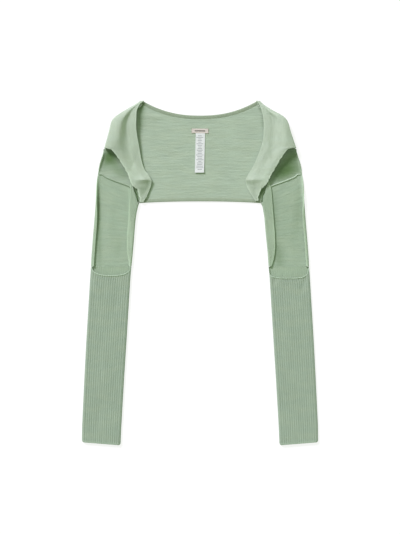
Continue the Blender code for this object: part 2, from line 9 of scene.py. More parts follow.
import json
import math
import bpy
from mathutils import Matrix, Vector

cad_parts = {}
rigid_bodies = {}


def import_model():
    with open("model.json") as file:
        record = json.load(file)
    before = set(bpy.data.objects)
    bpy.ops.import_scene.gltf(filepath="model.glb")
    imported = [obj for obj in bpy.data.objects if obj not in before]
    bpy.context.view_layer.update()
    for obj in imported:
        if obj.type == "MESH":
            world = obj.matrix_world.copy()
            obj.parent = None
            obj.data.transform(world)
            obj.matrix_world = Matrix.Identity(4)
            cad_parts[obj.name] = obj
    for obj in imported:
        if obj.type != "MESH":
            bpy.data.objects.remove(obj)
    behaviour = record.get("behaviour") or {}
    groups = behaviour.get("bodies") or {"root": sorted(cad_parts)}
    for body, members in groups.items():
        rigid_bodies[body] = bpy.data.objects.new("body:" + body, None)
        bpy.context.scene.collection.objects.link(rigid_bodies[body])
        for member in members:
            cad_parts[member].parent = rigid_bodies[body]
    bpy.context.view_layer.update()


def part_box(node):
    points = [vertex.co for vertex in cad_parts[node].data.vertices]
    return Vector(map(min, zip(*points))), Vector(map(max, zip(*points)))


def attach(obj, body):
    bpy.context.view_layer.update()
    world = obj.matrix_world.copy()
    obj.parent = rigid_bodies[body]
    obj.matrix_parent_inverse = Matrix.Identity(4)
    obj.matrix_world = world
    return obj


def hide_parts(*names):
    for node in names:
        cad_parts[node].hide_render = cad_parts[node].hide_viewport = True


bl_info = {
    "name": "Knitted Shrug",
    "version": (1, 0, 0),
    "blender": (4, 5, 0),
    "location": "View3D > Sidebar > Shrug",
    "description": "Builds a knitted shrug with ribbed sleeves round its packed solids",
    "category": "Object",
}

from collections import namedtuple

import bmesh
import bpy
import numpy as np
from mathutils import Vector

for old in list(bpy.data.objects):
    bpy.data.objects.remove(old, do_unlink=True)
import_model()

LEFT = -1
RIGHT = 1
SIDES = ((LEFT, "left"), (RIGHT, "right"))
BODY = "root"
KNIT_SLOT = "green_knit"
RIB_SLOT = "green_rib_knit"
WOVEN_SLOT = "beige_woven_label"
SATIN_SLOT = "white_satin_label"
KNIT_MAP = "knit"
# The edge mask paints highlights on free edges, rims, seams and pale places. The depth mask paints
# shade in pockets, cast shadows and seam gaps.
PAINTED_HIGHLIGHT_MASK = "edge"
PAINTED_SHADE_MASK = "depth"
WALL_MASK = "wall"
WALL_GROUP = "cloth"

# Seams and lines that the shells share with the solids
SEAM_GAP = 0.0003
DIAGONAL = 0.7
NECK_CENTRE_Y = 0.3530
NECK_RISE = 0.0330
NECK_HALF_WIDTH = 0.1290
HEM_CENTRE_Y = 0.1600
HEM_RISE = -0.0040
HEM_HALF_WIDTH = 0.1360
LINE_POWER = 2.3

# Front bands and rolled bands
BAND_SHARE = 0.60
BAND_TURN_START_Y = 0.2220
BAND_TURN_END_Y = 0.1960
# Painted highlight along the neck edge of a front band
BAND_EDGE_GLOW = 0.6
BAND_EDGE_POWER = 6
BAND_TAPER = 0.0200
BAND_ROUNDNESS = 0.65
BAND_SLOPE = 0.26
BAND_OVERLAP = 0.0016
LEAN_STEP = 0.0005
NECK_BAND_END_X = 0.1251
NECK_BAND_UNDER = 0.0045
NECK_BAND_END_HEIGHT = 0.0022
HEM_BAND_END_X = 0.1387

# Shoulder folds, crowns and cut-out edges of the fronts
WRAP_UNDER = 0.0100
FOLD_REACH_BASE = 0.0012
FOLD_REACH_SHARE = 0.30
FOLD_REACH_MOST = 0.0080
FOLD_END_TURN = math.radians(46.0)
DIP_PLACE = 0.62
DIP_INSET = 0.0205
CROWN_RUN = {LEFT: 0.0190, RIGHT: 0.0100}
CROWN_MOST = 0.34
CUT_OUT_CROWN = 0.06
DESCENT = {LEFT: 1.15, RIGHT: 1.0}
FRONT_CREASE_FADE = 8.0
EDGE_WAVE = 0.0010
EDGE_WAVE_SHORT = 5.3
EDGE_WAVE_SHORT_SHARE = 0.6
EDGE_WAVE_LONG = 8.7
EDGE_WAVE_LONG_SHARE = 0.4
EDGE_WAVE_FADE = 8.0

# Curled edges of the back and of the open upper sleeves
BACK_LIP_LENGTH = 0.0084
FLAT_CURL = 2.0
FULL_CURL = 30.0
SLEEVE_LIP_LENGTH = 0.0094
LIP_ANGLE_TOP = 3.0
LIP_ANGLE_MOUTH = 178.0
LIP_FLAT_MOUTH = 0.0040
LIP_TURN_RATE = 1.7
SLEEVE_FOLD_HEIGHT = 0.0064
SLEEVE_FOLD_REACH = 0.0032
STRIP_EDGE_Z = 0.0052
SEAM_FADE_POWER = 4
CREASE_LEVEL = 0.001

# Ribbed sleeves, their mouths and cuffs
TUBE_HEIGHT = 0.0058
RIB_SHARPNESS = 3
TUBE_CREASE_FADE = 12.0
MOUTH_POWER = {LEFT: 2.6, RIGHT: 3.6}
MOUTH_DEPTH = {LEFT: 0.0205, RIGHT: 0.0265}
MOUTH_ENDS = {LEFT: (0.12, 0.16), RIGHT: (0.40, 0.62)}
# Painted highlights on the mouth's raised edge (MOUTH_GLOW) and on the cuff (CUFF_GLOW)
MOUTH_GLOW = 1.5
CUFF_START = 0.985
CUFF_ROUND = 0.0050
CUFF_PULL = 0.0024
CUFF_GLOW = 0.5

# Seam ridges
RIDGE_END_SHARE = 0.35
RIDGE_FADE = 14.0
RIDGE_LIFT = 0.25
RIDGE_WIDTH = 1.15
# Painted highlight of the shoulder seam ridge
SHOULDER_SEAM_HIGHLIGHT = 0.2
ARMHOLE_RIDGE_END_Y = 0.1880
ARMHOLE_RIDGE_LAP = 0.0030
ARMHOLE_RIDGE_RISE = 0.0003
UNDERARM_BASE_SHARE = 0.5
# Painted shade of the underarm seam ridge, in the gap under the front's edge
UNDERARM_PAINTED_SHADE = 1.0
JOINT_BASE_SHARE = 0.6
JOINT_LAP = 0.004
# Painted highlight and painted shade of the armhole ridges: the left ridge is painted darker, the right
# one paler
SEAM_PAINTED_LIGHT = {LEFT: (0.05, 0.30), RIGHT: (0.60, 0.0)}

# Labels and the threads at the ends of the neck label
LABEL_BASE = 0.0002
LABEL_WAVE = 0.00012
LABEL_WAVES_DOWN = 3.0
LABEL_WAVES_ACROSS = 0.5
LABEL_LIFT_POWER = 4
CARE_LABEL_LEAN = 0.0022
THREAD_STEPS_DOWN = 5
THREAD_INSET = 0.0010
THREAD_OUT = 0.0006
THREAD_IN = 0.0014
THREAD_SLANT = 0.0003
THREAD_DROP = 0.0004
THREAD_ARCH = 0.0003
THREAD_RADIUS = 0.0002

# Steps of the shells. A table is halved ROW_HALVINGS times between its rows.
ROW_HALVINGS = 3
ROWS_PER_STEP = 2 ** ROW_HALVINGS
FRONT_COLUMNS = 40
BAND_COLUMNS = 12
TOP_SAMPLES = 96
WRAP_STEPS = 18
LIP_STEPS = 10
BACK_HALVINGS = 2
BACK_COLUMNS = 130
FLAT_STEPS = 90
SLEEVE_FOLD_STEPS = 12
STRIP_STEPS = 12
TUBE_RINGS = 110
RING_CROWDING = 1.25
TUBE_SIDE_STEPS = 12
CUFF_STEPS = 5
POINTS_PER_RIB = 8
RIM_STEPS = 4
BAND_RING_POINTS = 16
BAND_RINGS = 120
SEAM_RING_POINTS = 10
JOINT_STEPS = 24
LABEL_ROWS = 40
LABEL_COLUMNS = 16
THREAD_STEPS = 4
THREAD_SIDES = 6

# Camera and floor
SENSOR_WIDTH = 36.0
FLOOR_ROUGHNESS = 0.9

# Welding, rounding and masks of every piece
WELD_DISTANCE = 0.000001
ROUNDING_SHARE = 0.35
ROUNDING_ANGLE = math.radians(55.0)
# How far the painted highlight of an edge clears the painted shade under it
RIM_CLEAR = 0.7

FrontRow = namedtuple("FrontRow", "edge_x edge_y neck_x neck_y crown dip neck_z")
SleeveRow = namedtuple("SleeveRow", "outer_x outer_y inner_x inner_y strip_x strip_y")
TubeRow = namedtuple("TubeRow", "outer_x outer_y inner_x inner_y mouth_share")
PlanPoint = namedtuple("PlanPoint", "x y")
EdgePoint = namedtuple("EdgePoint", "x y curl_degrees")
Crease = namedtuple("Crease", "x y turn_degrees length width height")
Sheet = namedtuple("Sheet", "points knit wall edge")

# Rows of each front, neck point to lower tip. The first FOLDED_ROWS wrap round the shoulder.
FOLDED_ROWS = 8
FRONT_ROWS = {
    LEFT: (
        FrontRow(-0.1350, 0.3860, -0.1255, 0.3860, 0.0054, 0.0054, 0.0054),
        FrontRow(-0.1440, 0.3790, -0.1345, 0.3785, 0.0085, 0.0085, 0.0085),
        FrontRow(-0.1665, 0.3655, -0.1415, 0.3635, 0.0140, 0.0115, 0.0115),
        FrontRow(-0.1870, 0.3520, -0.1425, 0.3475, 0.0180, 0.0120, 0.0130),
        FrontRow(-0.1980, 0.3400, -0.1430, 0.3330, 0.0205, 0.0120, 0.0130),
        FrontRow(-0.2030, 0.3220, -0.1425, 0.3185, 0.0215, 0.0115, 0.0120),
        FrontRow(-0.2090, 0.2990, -0.1395, 0.2980, 0.0210, 0.0105, 0.0105),
        FrontRow(-0.2150, 0.2790, -0.1365, 0.2825, 0.0200, 0.0100, 0.0090),
        FrontRow(-0.1980, 0.2750, -0.1345, 0.2690, 0.0190, 0.0095, 0.0080),
        FrontRow(-0.1870, 0.2620, -0.1320, 0.2555, 0.0170, 0.0090, 0.0070),
        FrontRow(-0.1780, 0.2480, -0.1285, 0.2420, 0.0150, 0.0085, 0.0065),
        FrontRow(-0.1690, 0.2340, -0.1235, 0.2295, 0.0130, 0.0090, 0.0065),
        FrontRow(-0.1615, 0.2195, -0.1160, 0.2195, 0.0115, 0.0100, 0.0075),
        FrontRow(-0.1575, 0.2080, -0.1085, 0.2070, 0.0115, 0.0125, 0.0085),
        FrontRow(-0.1510, 0.1945, -0.1105, 0.1940, 0.0100, 0.0095, 0.0060),
        FrontRow(-0.1410, 0.1875, -0.1145, 0.1830, 0.0085, 0.0075, 0.0055),
        FrontRow(-0.1370, 0.1720, -0.1200, 0.1700, 0.0074, 0.0070, 0.0063),
        FrontRow(-0.1345, 0.1585, -0.1275, 0.1575, 0.0066, 0.0065, 0.0064),
    ),
    RIGHT: (
        FrontRow(0.1350, 0.3860, 0.1260, 0.3860, 0.0054, 0.0054, 0.0054),
        FrontRow(0.1420, 0.3785, 0.1325, 0.3780, 0.0080, 0.0080, 0.0080),
        FrontRow(0.1610, 0.3655, 0.1380, 0.3640, 0.0130, 0.0100, 0.0085),
        FrontRow(0.1850, 0.3520, 0.1420, 0.3475, 0.0170, 0.0110, 0.0085),
        FrontRow(0.1965, 0.3390, 0.1430, 0.3330, 0.0195, 0.0110, 0.0085),
        FrontRow(0.2025, 0.3190, 0.1430, 0.3185, 0.0205, 0.0110, 0.0085),
        FrontRow(0.2090, 0.2990, 0.1415, 0.2980, 0.0205, 0.0105, 0.0080),
        FrontRow(0.2160, 0.2790, 0.1375, 0.2825, 0.0200, 0.0105, 0.0075),
        FrontRow(0.1965, 0.2760, 0.1325, 0.2690, 0.0190, 0.0100, 0.0070),
        FrontRow(0.1860, 0.2630, 0.1270, 0.2555, 0.0170, 0.0095, 0.0065),
        FrontRow(0.1765, 0.2480, 0.1210, 0.2420, 0.0150, 0.0090, 0.0065),
        FrontRow(0.1685, 0.2340, 0.1140, 0.2295, 0.0130, 0.0095, 0.0065),
        FrontRow(0.1600, 0.2195, 0.1075, 0.2195, 0.0115, 0.0100, 0.0070),
        FrontRow(0.1545, 0.2090, 0.1020, 0.2070, 0.0115, 0.0115, 0.0080),
        FrontRow(0.1480, 0.1970, 0.1045, 0.1945, 0.0100, 0.0090, 0.0060),
        FrontRow(0.1385, 0.1890, 0.1100, 0.1840, 0.0085, 0.0075, 0.0055),
        FrontRow(0.1320, 0.1740, 0.1180, 0.1710, 0.0074, 0.0070, 0.0063),
        FrontRow(0.1305, 0.1610, 0.1245, 0.1600, 0.0066, 0.0065, 0.0064),
    ),
}
# Front rows at which the outline may turn sharply
CORNER_ROWS = (0, 7, 8, 13, 15, 17)

# Armhole seam of the left side on the back layer, from the arm to the hem
ARMHOLE_SEAM = (
    PlanPoint(-0.2295, 0.2210),
    PlanPoint(-0.2190, 0.2205),
    PlanPoint(-0.2140, 0.2155),
    PlanPoint(-0.2025, 0.2100),
    PlanPoint(-0.1800, 0.2015),
    PlanPoint(-0.1610, 0.1945),
    PlanPoint(-0.1485, 0.1845),
    PlanPoint(-0.1405, 0.1710),
    PlanPoint(-0.1396, 0.1575),
)

# Free edge of the back layer, left side, from the armhole seam to the shoulder
BACK_FREE_EDGE = (
    EdgePoint(-0.2280, 0.2340, 55.0),
    EdgePoint(-0.2245, 0.2480, 80.0),
    EdgePoint(-0.2205, 0.2600, 75.0),
    EdgePoint(-0.2188, 0.2665, 40.0),
    EdgePoint(-0.2172, 0.2730, 0.0),
    EdgePoint(-0.2160, 0.2780, 0.0),
)

# Upper sleeve rows from the armhole seam down to the ribbing
SLEEVE_ROWS = {
    LEFT: (
        SleeveRow(-0.2295, 0.2203, -0.1365, 0.1553, -0.1545, 0.2050),
        SleeveRow(-0.2315, 0.2080, -0.1390, 0.1485, -0.1570, 0.1920),
        SleeveRow(-0.2330, 0.1810, -0.1420, 0.1360, -0.1575, 0.1700),
        SleeveRow(-0.2350, 0.1495, -0.1440, 0.1225, -0.1595, 0.1450),
        SleeveRow(-0.2375, 0.1180, -0.1460, 0.1045, -0.1615, 0.1135),
        SleeveRow(-0.2405, 0.0820, -0.1480, 0.0775, -0.1640, 0.0800),
        SleeveRow(-0.2430, 0.0505, -0.1505, 0.0485, -0.1640, 0.0505),
        SleeveRow(-0.2445, 0.0280, -0.1525, 0.0270, -0.1610, 0.0285),
        SleeveRow(-0.2450, 0.0140, -0.1540, 0.0140, -0.1595, 0.0140),
    ),
    RIGHT: (
        SleeveRow(0.2295, 0.2203, 0.1365, 0.1553, 0.1530, 0.2060),
        SleeveRow(0.2315, 0.2080, 0.1400, 0.1485, 0.1590, 0.1920),
        SleeveRow(0.2330, 0.1810, 0.1425, 0.1360, 0.1615, 0.1700),
        SleeveRow(0.2350, 0.1495, 0.1445, 0.1225, 0.1635, 0.1450),
        SleeveRow(0.2375, 0.1180, 0.1460, 0.1045, 0.1660, 0.1135),
        SleeveRow(0.2405, 0.0820, 0.1485, 0.0775, 0.1685, 0.0800),
        SleeveRow(0.2430, 0.0505, 0.1515, 0.0485, 0.1685, 0.0505),
        SleeveRow(0.2445, 0.0280, 0.1530, 0.0270, 0.1650, 0.0285),
        SleeveRow(0.2450, 0.0140, 0.1540, 0.0140, 0.1605, 0.0140),
    ),
}

# Ribbed sleeve rows of the left side, from the mouth down to the cuff
TUBE_ROWS = (
    TubeRow(-0.2450, 0.0134, -0.1540, 0.0134, 1.00),
    TubeRow(-0.2462, -0.0010, -0.1555, -0.0010, 0.62),
    TubeRow(-0.2475, -0.0215, -0.1570, -0.0215, 0.20),
    TubeRow(-0.2555, -0.1520, -0.1650, -0.1520, 0.0),
    TubeRow(-0.2595, -0.2285, -0.1700, -0.2295, 0.0),
    TubeRow(-0.2650, -0.3430, -0.1770, -0.3490, 0.0),
    TubeRow(-0.2655, -0.3805, -0.1785, -0.3870, 0.0),
)

# Creases, listed one by one. Height is negative for a trough.
FRONT_CREASES = (
    Crease(-0.1700, 0.3150, 84.0, 0.060, 0.0060, -0.0005),
    Crease(-0.1510, 0.2400, 62.0, 0.036, 0.0055, -0.0006),
    Crease(-0.1270, 0.2085, 4.0, 0.026, 0.0042, 0.0014),
    Crease(-0.1260, 0.1985, 8.0, 0.022, 0.0048, -0.0009),
    Crease(0.1620, 0.3200, 95.0, 0.070, 0.0060, -0.0010),
    Crease(0.1880, 0.3050, 108.0, 0.050, 0.0085, 0.0010),
    Crease(0.1420, 0.2380, 118.0, 0.040, 0.0060, 0.0006),
    Crease(0.1230, 0.2085, -6.0, 0.024, 0.0042, 0.0010),
    Crease(0.1140, 0.1990, -16.0, 0.018, 0.0046, -0.0008),
)
BACK_CREASES = (
    Crease(-0.1030, 0.3500, -8.0, 0.036, 0.0050, 0.0011),
    Crease(-0.0700, 0.2450, 12.0, 0.070, 0.0090, 0.0006),
    Crease(0.0850, 0.2850, -6.0, 0.080, 0.0080, 0.0006),
    Crease(0.0200, 0.1950, 3.0, 0.100, 0.0090, 0.0005),
    Crease(-0.1850, 0.2300, -28.0, 0.050, 0.0060, 0.0006),
    Crease(0.1900, 0.2320, 28.0, 0.050, 0.0060, 0.0006),
)
SLEEVE_CREASES = (
    Crease(-0.2030, 0.1200, 88.0, 0.100, 0.0100, 0.0008),
    Crease(-0.1850, 0.0570, 80.0, 0.040, 0.0090, -0.0006),
    Crease(0.2080, 0.1300, 86.0, 0.100, 0.0090, 0.0007),
    Crease(0.1950, 0.0500, 96.0, 0.050, 0.0080, -0.0005),
)
TUBE_CREASES = (
    Crease(-0.2320, -0.0330, -66.0, 0.046, 0.0065, 0.0011),
    Crease(-0.1900, -0.0700, 80.0, 0.070, 0.0110, -0.0007),
    Crease(-0.2100, -0.2000, 84.0, 0.110, 0.0140, 0.0006),
    Crease(-0.2300, -0.3200, 70.0, 0.060, 0.0120, -0.0006),
    Crease(0.1690, -0.0150, 62.0, 0.030, 0.0055, -0.0009),
    Crease(0.2330, -0.0260, 72.0, 0.040, 0.0060, -0.0009),
    Crease(0.2000, -0.1300, 94.0, 0.100, 0.0130, 0.0006),
    Crease(0.2250, -0.2900, 105.0, 0.080, 0.0120, -0.0006),
)

# Painted shadows and painted highlights on the upper faces of the knit, where shade and light fall,
# with their strength as the height. Under 0 is paler: a painted highlight.
NO_PAINTED_LIGHT = ()
BACK_PAINTED_SHADE = (
    Crease(-0.2000, 0.2620, -50.0, 0.036, 0.0150, 0.76),
    Crease(-0.1790, 0.2300, -52.0, 0.034, 0.0200, 0.30),
    Crease(-0.2120, 0.2500, 72.0, 0.036, 0.0120, 0.50),
    Crease(-0.1930, 0.2400, -52.0, 0.040, 0.0120, 0.24),
    Crease(-0.1650, 0.2180, -52.0, 0.030, 0.0120, 0.20),
    Crease(0.2060, 0.2560, 56.0, 0.046, 0.0180, 0.80),
    Crease(0.1780, 0.2230, 50.0, 0.044, 0.0190, 0.76),
    Crease(0.2120, 0.2280, 25.0, 0.054, 0.0150, 0.58),
    Crease(-0.1330, 0.3500, 88.0, 0.046, 0.0090, 0.45),
    Crease(-0.1310, 0.3750, 60.0, 0.024, 0.0080, 0.60),
    Crease(0.1345, 0.3700, 111.4, 0.018, 0.0026, 0.50),
    Crease(0.1412, 0.3400, 91.0, 0.028, 0.0024, 0.45),
    Crease(-0.1451, 0.1834, 112.3, 0.030, 0.0050, 0.85),
    Crease(0.1395, 0.1834, 63.4, 0.032, 0.0080, 0.85),
    Crease(-0.1160, 0.1850, 63.0, 0.024, 0.0050, 0.30),
    Crease(0.0950, 0.3730, 24.0, 0.044, 0.0040, 0.25),
)
SLEEVE_PAINTED_SHADE_AND_LIGHT = (
    Crease(-0.2280, 0.1150, 91.0, 0.170, 0.0060, 0.42),
    Crease(-0.1830, 0.0560, 84.0, 0.034, 0.0075, 0.16),
    Crease(0.2060, 0.1100, 88.0, 0.150, 0.0350, 0.12),
    Crease(0.1690, 0.1150, 93.0, 0.120, 0.0070, 0.34),
    Crease(0.1760, 0.0350, 96.0, 0.050, 0.0110, 0.34),
    Crease(0.2210, 0.1350, 87.0, 0.080, 0.0060, 0.12),
    Crease(-0.1580, 0.1250, 92.0, 0.150, 0.0022, -0.55),
    Crease(0.1600, 0.1150, 94.0, 0.140, 0.0100, -0.30),
)
FRONT_PAINTED_SHADE_AND_LIGHT = (
    Crease(-0.1710, 0.3270, 80.0, 0.042, 0.0042, -0.50),
    Crease(-0.1710, 0.2720, 86.0, 0.026, 0.0055, 0.18),
    Crease(-0.2000, 0.3100, 76.0, 0.060, 0.0110, -0.22),
    Crease(-0.1540, 0.2950, 88.0, 0.100, 0.0080, -0.36),
    Crease(-0.1560, 0.2300, 126.0, 0.060, 0.0170, -0.40),
    Crease(-0.1170, 0.1980, 176.0, 0.026, 0.0060, 0.22),
    Crease(-0.1280, 0.1860, 100.0, 0.026, 0.0090, 0.42),
    Crease(0.1600, 0.3580, -35.0, 0.034, 0.0026, -0.60),
    Crease(0.1400, 0.1980, 60.0, 0.034, 0.0080, -0.40),
    Crease(-0.1197, 0.1823, 63.0, 0.028, 0.0019, -0.70),
    Crease(0.1860, 0.3060, 106.0, 0.070, 0.0180, -0.12),
    Crease(0.1570, 0.2750, 95.0, 0.070, 0.0030, 0.16),
    Crease(0.1480, 0.2250, 56.0, 0.050, 0.0090, -0.25),
    Crease(0.1100, 0.2010, 170.0, 0.022, 0.0050, 0.20),
    Crease(0.1200, 0.1860, 80.0, 0.024, 0.0090, 0.14),
    Crease(0.1103, 0.1838, 113.5, 0.028, 0.0019, -0.70),
)


def mix(first, second, share):
    return first + (second - first) * share


def ease(share):
    share = min(max(share, 0.0), 1.0)
    return 0.5 - 0.5 * math.cos(math.pi * share)


def steps(count):
    return [index / count for index in range(count + 1)]


def refine(rows, corners, times, gap_after=None):
    """Halves the steps between rows by the four-point rule for smooth curves.

    The curve may turn sharply at the corner rows, and no row is put in the gap
    after row gap_after.
    """
    rows = np.array(rows, float)
    for _ in range(times):
        last = len(rows) - 1
        found = []
        places = {}
        for index, row in enumerate(rows):
            places[index] = len(found)
            found.append(row)
            if index in (last, gap_after):
                continue
            before = row if index in corners else rows[index - 1]
            after = rows[index + 1]
            beyond = after if index + 1 in corners else rows[index + 2]
            found.append((9.0 * (row + after) - before - beyond) / 16.0)
        rows = np.array(found)
        corners = {places[index] for index in corners}
        gap_after = places.get(gap_after)
    return rows


def ends(rows):
    return (0, len(rows) - 1)


def neck_line(x):
    return NECK_CENTRE_Y + NECK_RISE * abs(x / NECK_HALF_WIDTH) ** LINE_POWER


def hem_line(x):
    return HEM_CENTRE_Y + HEM_RISE * abs(x / HEM_HALF_WIDTH) ** LINE_POWER


def crease_height(creases, x, y):
    """Sum of the soft ridges and troughs at a place seen from above."""
    total = 0.0
    for crease in creases:
        turn = math.radians(crease.turn_degrees)
        aside_x, aside_y = x - crease.x, y - crease.y
        along_it = aside_x * math.cos(turn) + aside_y * math.sin(turn)
        across_it = aside_y * math.cos(turn) - aside_x * math.sin(turn)
        end_fade = ease(1.0 - abs(along_it) / crease.length)
        total += crease.height * end_fade * math.exp(-((across_it / crease.width) ** 2))
    return total


def along(points, distances):
    """Points at the given distances along a line of points."""
    lengths = [0.0]
    for first, second in zip(points, points[1:]):
        lengths.append(lengths[-1] + (second - first).length)
    found = []
    for distance in distances:
        index = int(np.searchsorted(lengths, distance))
        index = min(max(index, 1), len(points) - 1)
        span = lengths[index] - lengths[index - 1]
        share = min(max((distance - lengths[index - 1]) / span, 0.0), 1.0)
        found.append(points[index - 1].lerp(points[index], share))
    return found


def line_length(points):
    return sum((second - first).length for first, second in zip(points, points[1:]))


FRONTS = {}
for front_side, front_table in FRONT_ROWS.items():
    refined_rows = refine(front_table, set(CORNER_ROWS), ROW_HALVINGS, FOLDED_ROWS - 1)
    FRONTS[front_side] = [FrontRow(*row) for row in refined_rows]
LAST_FOLDED = (FOLDED_ROWS - 1) * ROWS_PER_STEP
SEAM_CORNERS = {0, 1, len(ARMHOLE_SEAM) - 1}
SEAM_LINE = [PlanPoint(*row) for row in refine(ARMHOLE_SEAM, SEAM_CORNERS, ROW_HALVINGS)]
SLEEVES = {}
for sleeve_side, sleeve_table in SLEEVE_ROWS.items():
    refined_rows = refine(sleeve_table, ends(sleeve_table), ROW_HALVINGS)
    SLEEVES[sleeve_side] = [SleeveRow(*row) for row in refined_rows]


def length_setting(name, description, default):
    return bpy.props.FloatProperty(
        name=name, description=description, unit="LENGTH", default=default)


def angle_setting(name, description, degrees):
    return bpy.props.FloatProperty(
        name=name, description=description, subtype="ANGLE", default=math.radians(degrees))


def colour_setting(name, description, default, most=1.0):
    return bpy.props.FloatVectorProperty(
        name=name, description=description, subtype="COLOR", size=3, min=0.0, max=most,
        default=default)


class KnitSettings(bpy.types.PropertyGroup):
    """Yarn, stitches and cloth of the whole garment."""

    # The jersey and the sleeve outside are the same knit face: the jersey is set lighter as painted
    # light on the fronts, the sleeve outside darker as painted shade.
    jersey_colour: colour_setting(
        "Jersey", "Colour of the plain knit", (0.490, 0.600, 0.465))
    inside_colour: colour_setting(
        "Inside", "Colour of the inside of the plain knit", (0.415, 0.525, 0.400))
    # The rolled bands are set darker than the jersey, as painted shade on the roll's shaded side.
    roll_colour: colour_setting(
        "Rolled bands", "Colour of the rolled bands", (0.350, 0.440, 0.315))
    strip_colour: colour_setting(
        "Sleeve outside", "Colour of the outside of the sleeves", (0.390, 0.515, 0.365))
    # The sleeve inside is the same purl face as the inside, set darker as painted shade.
    sleeve_colour: colour_setting(
        "Sleeve inside", "Colour of the inside of the sleeves", (0.365, 0.480, 0.350))
    rib_colour: colour_setting(
        "Rib", "Colour of the ribbed knit", (0.325, 0.422, 0.318))
    # The rib inside is set paler than the rib to offset the shade inside the mouth: painted light.
    rib_inside_colour: colour_setting(
        "Rib inside", "Colour of the inside of the ribbed knit", (0.350, 0.465, 0.330))
    cloth: length_setting("Cloth", "Thickness of the knit", 0.0020)
    band_cloth: length_setting("Band cloth", "Thickness of the bands", 0.0024)
    edge_bead: length_setting("Edge bead", "How much thicker a free edge is", 0.0005)
    bead_width: length_setting("Bead width", "Width of a thicker free edge", 0.0030)
    stitch: length_setting("Stitch", "Width of one stitch", 0.0018)
    course: length_setting("Course", "Height of one row of stitches", 0.0014)
    relief: length_setting("Relief", "Height of the stitches", 0.00026)


class BandSettings(bpy.types.PropertyGroup):
    """Front bands and the rolled bands of the back."""

    front_width: length_setting("Front band", "Width of the front band", 0.0165)
    hem_width: length_setting("Front hem", "Width round the front's lower tip", 0.0070)
    seam: length_setting("Band seam", "Gap between band and front", 0.00004)
    seam_radius: length_setting("Shoulder seam", "Radius of the shoulder seam ridge", 0.0010)
    roll_width: length_setting("Roll width", "Width of the rolled bands", 0.0070)
    roll_height: length_setting("Roll height", "Height of the rolled bands", 0.0032)


class SleeveSettings(bpy.types.PropertyGroup):
    """Ribs and seams of the sleeves."""

    ribs: bpy.props.IntProperty(
        name="Ribs", description="Ribs across one layer of the sleeve", min=4, default=17)
    rib_relief: length_setting("Rib relief", "Depth of the grooves between ribs", 0.0005)
    inner_relief: length_setting("Inner relief", "Depth of the ribs inside", 0.0002)
    mouth_bead: length_setting("Mouth bead", "Rise of the mouth's edge", 0.0012)
    seam_radius: length_setting("Seam", "Radius of the armhole seam ridge", 0.0013)
    underarm_radius: length_setting("Underarm", "Radius of the seam under the arm", 0.0012)
    joint_radius: length_setting("Rib joint", "Radius of the seam at the ribbing", 0.0009)


class LabelSettings(bpy.types.PropertyGroup):
    """The two labels at the back neck."""

    cloth: length_setting("Label cloth", "Thickness of a label", 0.0006)
    lift: length_setting("Lift", "Rise of the care label's free end", 0.0016)
    woven_colour: colour_setting(
        "Woven", "Colour of the neck label", (0.65, 0.61, 0.55))
    satin_colour: colour_setting(
        "Satin", "Colour of the care label", (0.72, 0.76, 0.74))
    rule_colour: colour_setting(
        "Rules", "Colour of the plain rules on the care label", (0.26, 0.28, 0.29))
    line_colour: colour_setting(
        "Line", "Colour of the plain line on the neck label", (0.10, 0.09, 0.08))


class StageSettings(bpy.types.PropertyGroup):
    """Camera, floor and light."""

    camera_height: length_setting("Camera height", "Height over the floor", 2.6)
    frame_length: length_setting("Frame", "Length of floor in the picture", 1.2015)
    frame_centre_y: length_setting("Centre", "Place of the picture's centre along Y", 0.0124)
    floor_size: length_setting("Floor", "Side of the square floor", 12.0)
    fill: bpy.props.FloatProperty(
        name="Fill", description="Strength of the even fill light", default=0.52)
    key: bpy.props.FloatProperty(
        name="Key", description="Strength of the soft light from the upper left", default=3.2)
    fill_colour: colour_setting(
        "Fill colour", "Colour of the even fill light", (0.88, 1.0, 0.76), 2.0)
    backdrop_colour: colour_setting(
        "Backdrop", "Colour behind the floor, as the camera sees it", (2.0, 2.0, 2.0), 4.0)
    key_colour: colour_setting(
        "Key colour", "Colour of the soft light", (1.12, 1.0, 1.24), 2.0)
    key_softness: angle_setting("Key softness", "Angle that the soft light covers", 18.0)
    key_height: angle_setting("Key height", "Angle of the soft light over the floor", 31.0)
    key_side: angle_setting(
        "Key side", "Angle of the soft light to the left of the collar", 37.0)
    floor_colour: bpy.props.FloatProperty(
        name="Floor tone", description="How pale the floor is", min=0.0, max=1.0, default=0.25)
    floor_glow: bpy.props.FloatProperty(
        name="Floor glow", description="Light that the floor gives as a light table", default=0.80)


# Places of the colour sockets of a Mix node
MIX_FIRST = 6
MIX_SECOND = 7
MIX_RESULT = 2

VECTOR = "NodeSocketVector"
FLOAT = "NodeSocketFloat"
COLOUR = "NodeSocketColor"
RELIEF_INPUTS = (("Knit", VECTOR), ("Stitch", FLOAT), ("Course", FLOAT), ("Relief", FLOAT))
RELIEF_OUTPUTS = (("Height", FLOAT), ("Groove", FLOAT))

# Tone of the yarn and painted light: scales in waves a metre, shares of the whole tone, tints, and the
# strengths of the painted highlight and the painted shade
WARP_SCALES = (30.0, 30.0)
WARP_REACH = 0.012
FINE_DETAIL = 3.0
FINE_ROUGHNESS = 0.6
MOTTLE_SCALE = 16.0
FLECK_SCALE = 420.0
STREAK_SHARE = 0.60
MOTTLE_SHARE = 0.25
FLECK_SHARE = 0.15
TONE_SPAN = (0.32, 0.68)
# Painted highlight of the edge mask, and painted shade in the grooves between stitches
PAINTED_HIGHLIGHT_GAIN = 0.30
GROOVE_PAINTED_SHADE = 0.10
WARM_SCALES = (22.0, 70.0)
WARM_SPAN = (0.35, 0.70)
WARM_MOST = 0.14
WARM_YARN = (0.46, 0.52, 0.34, 1.0)
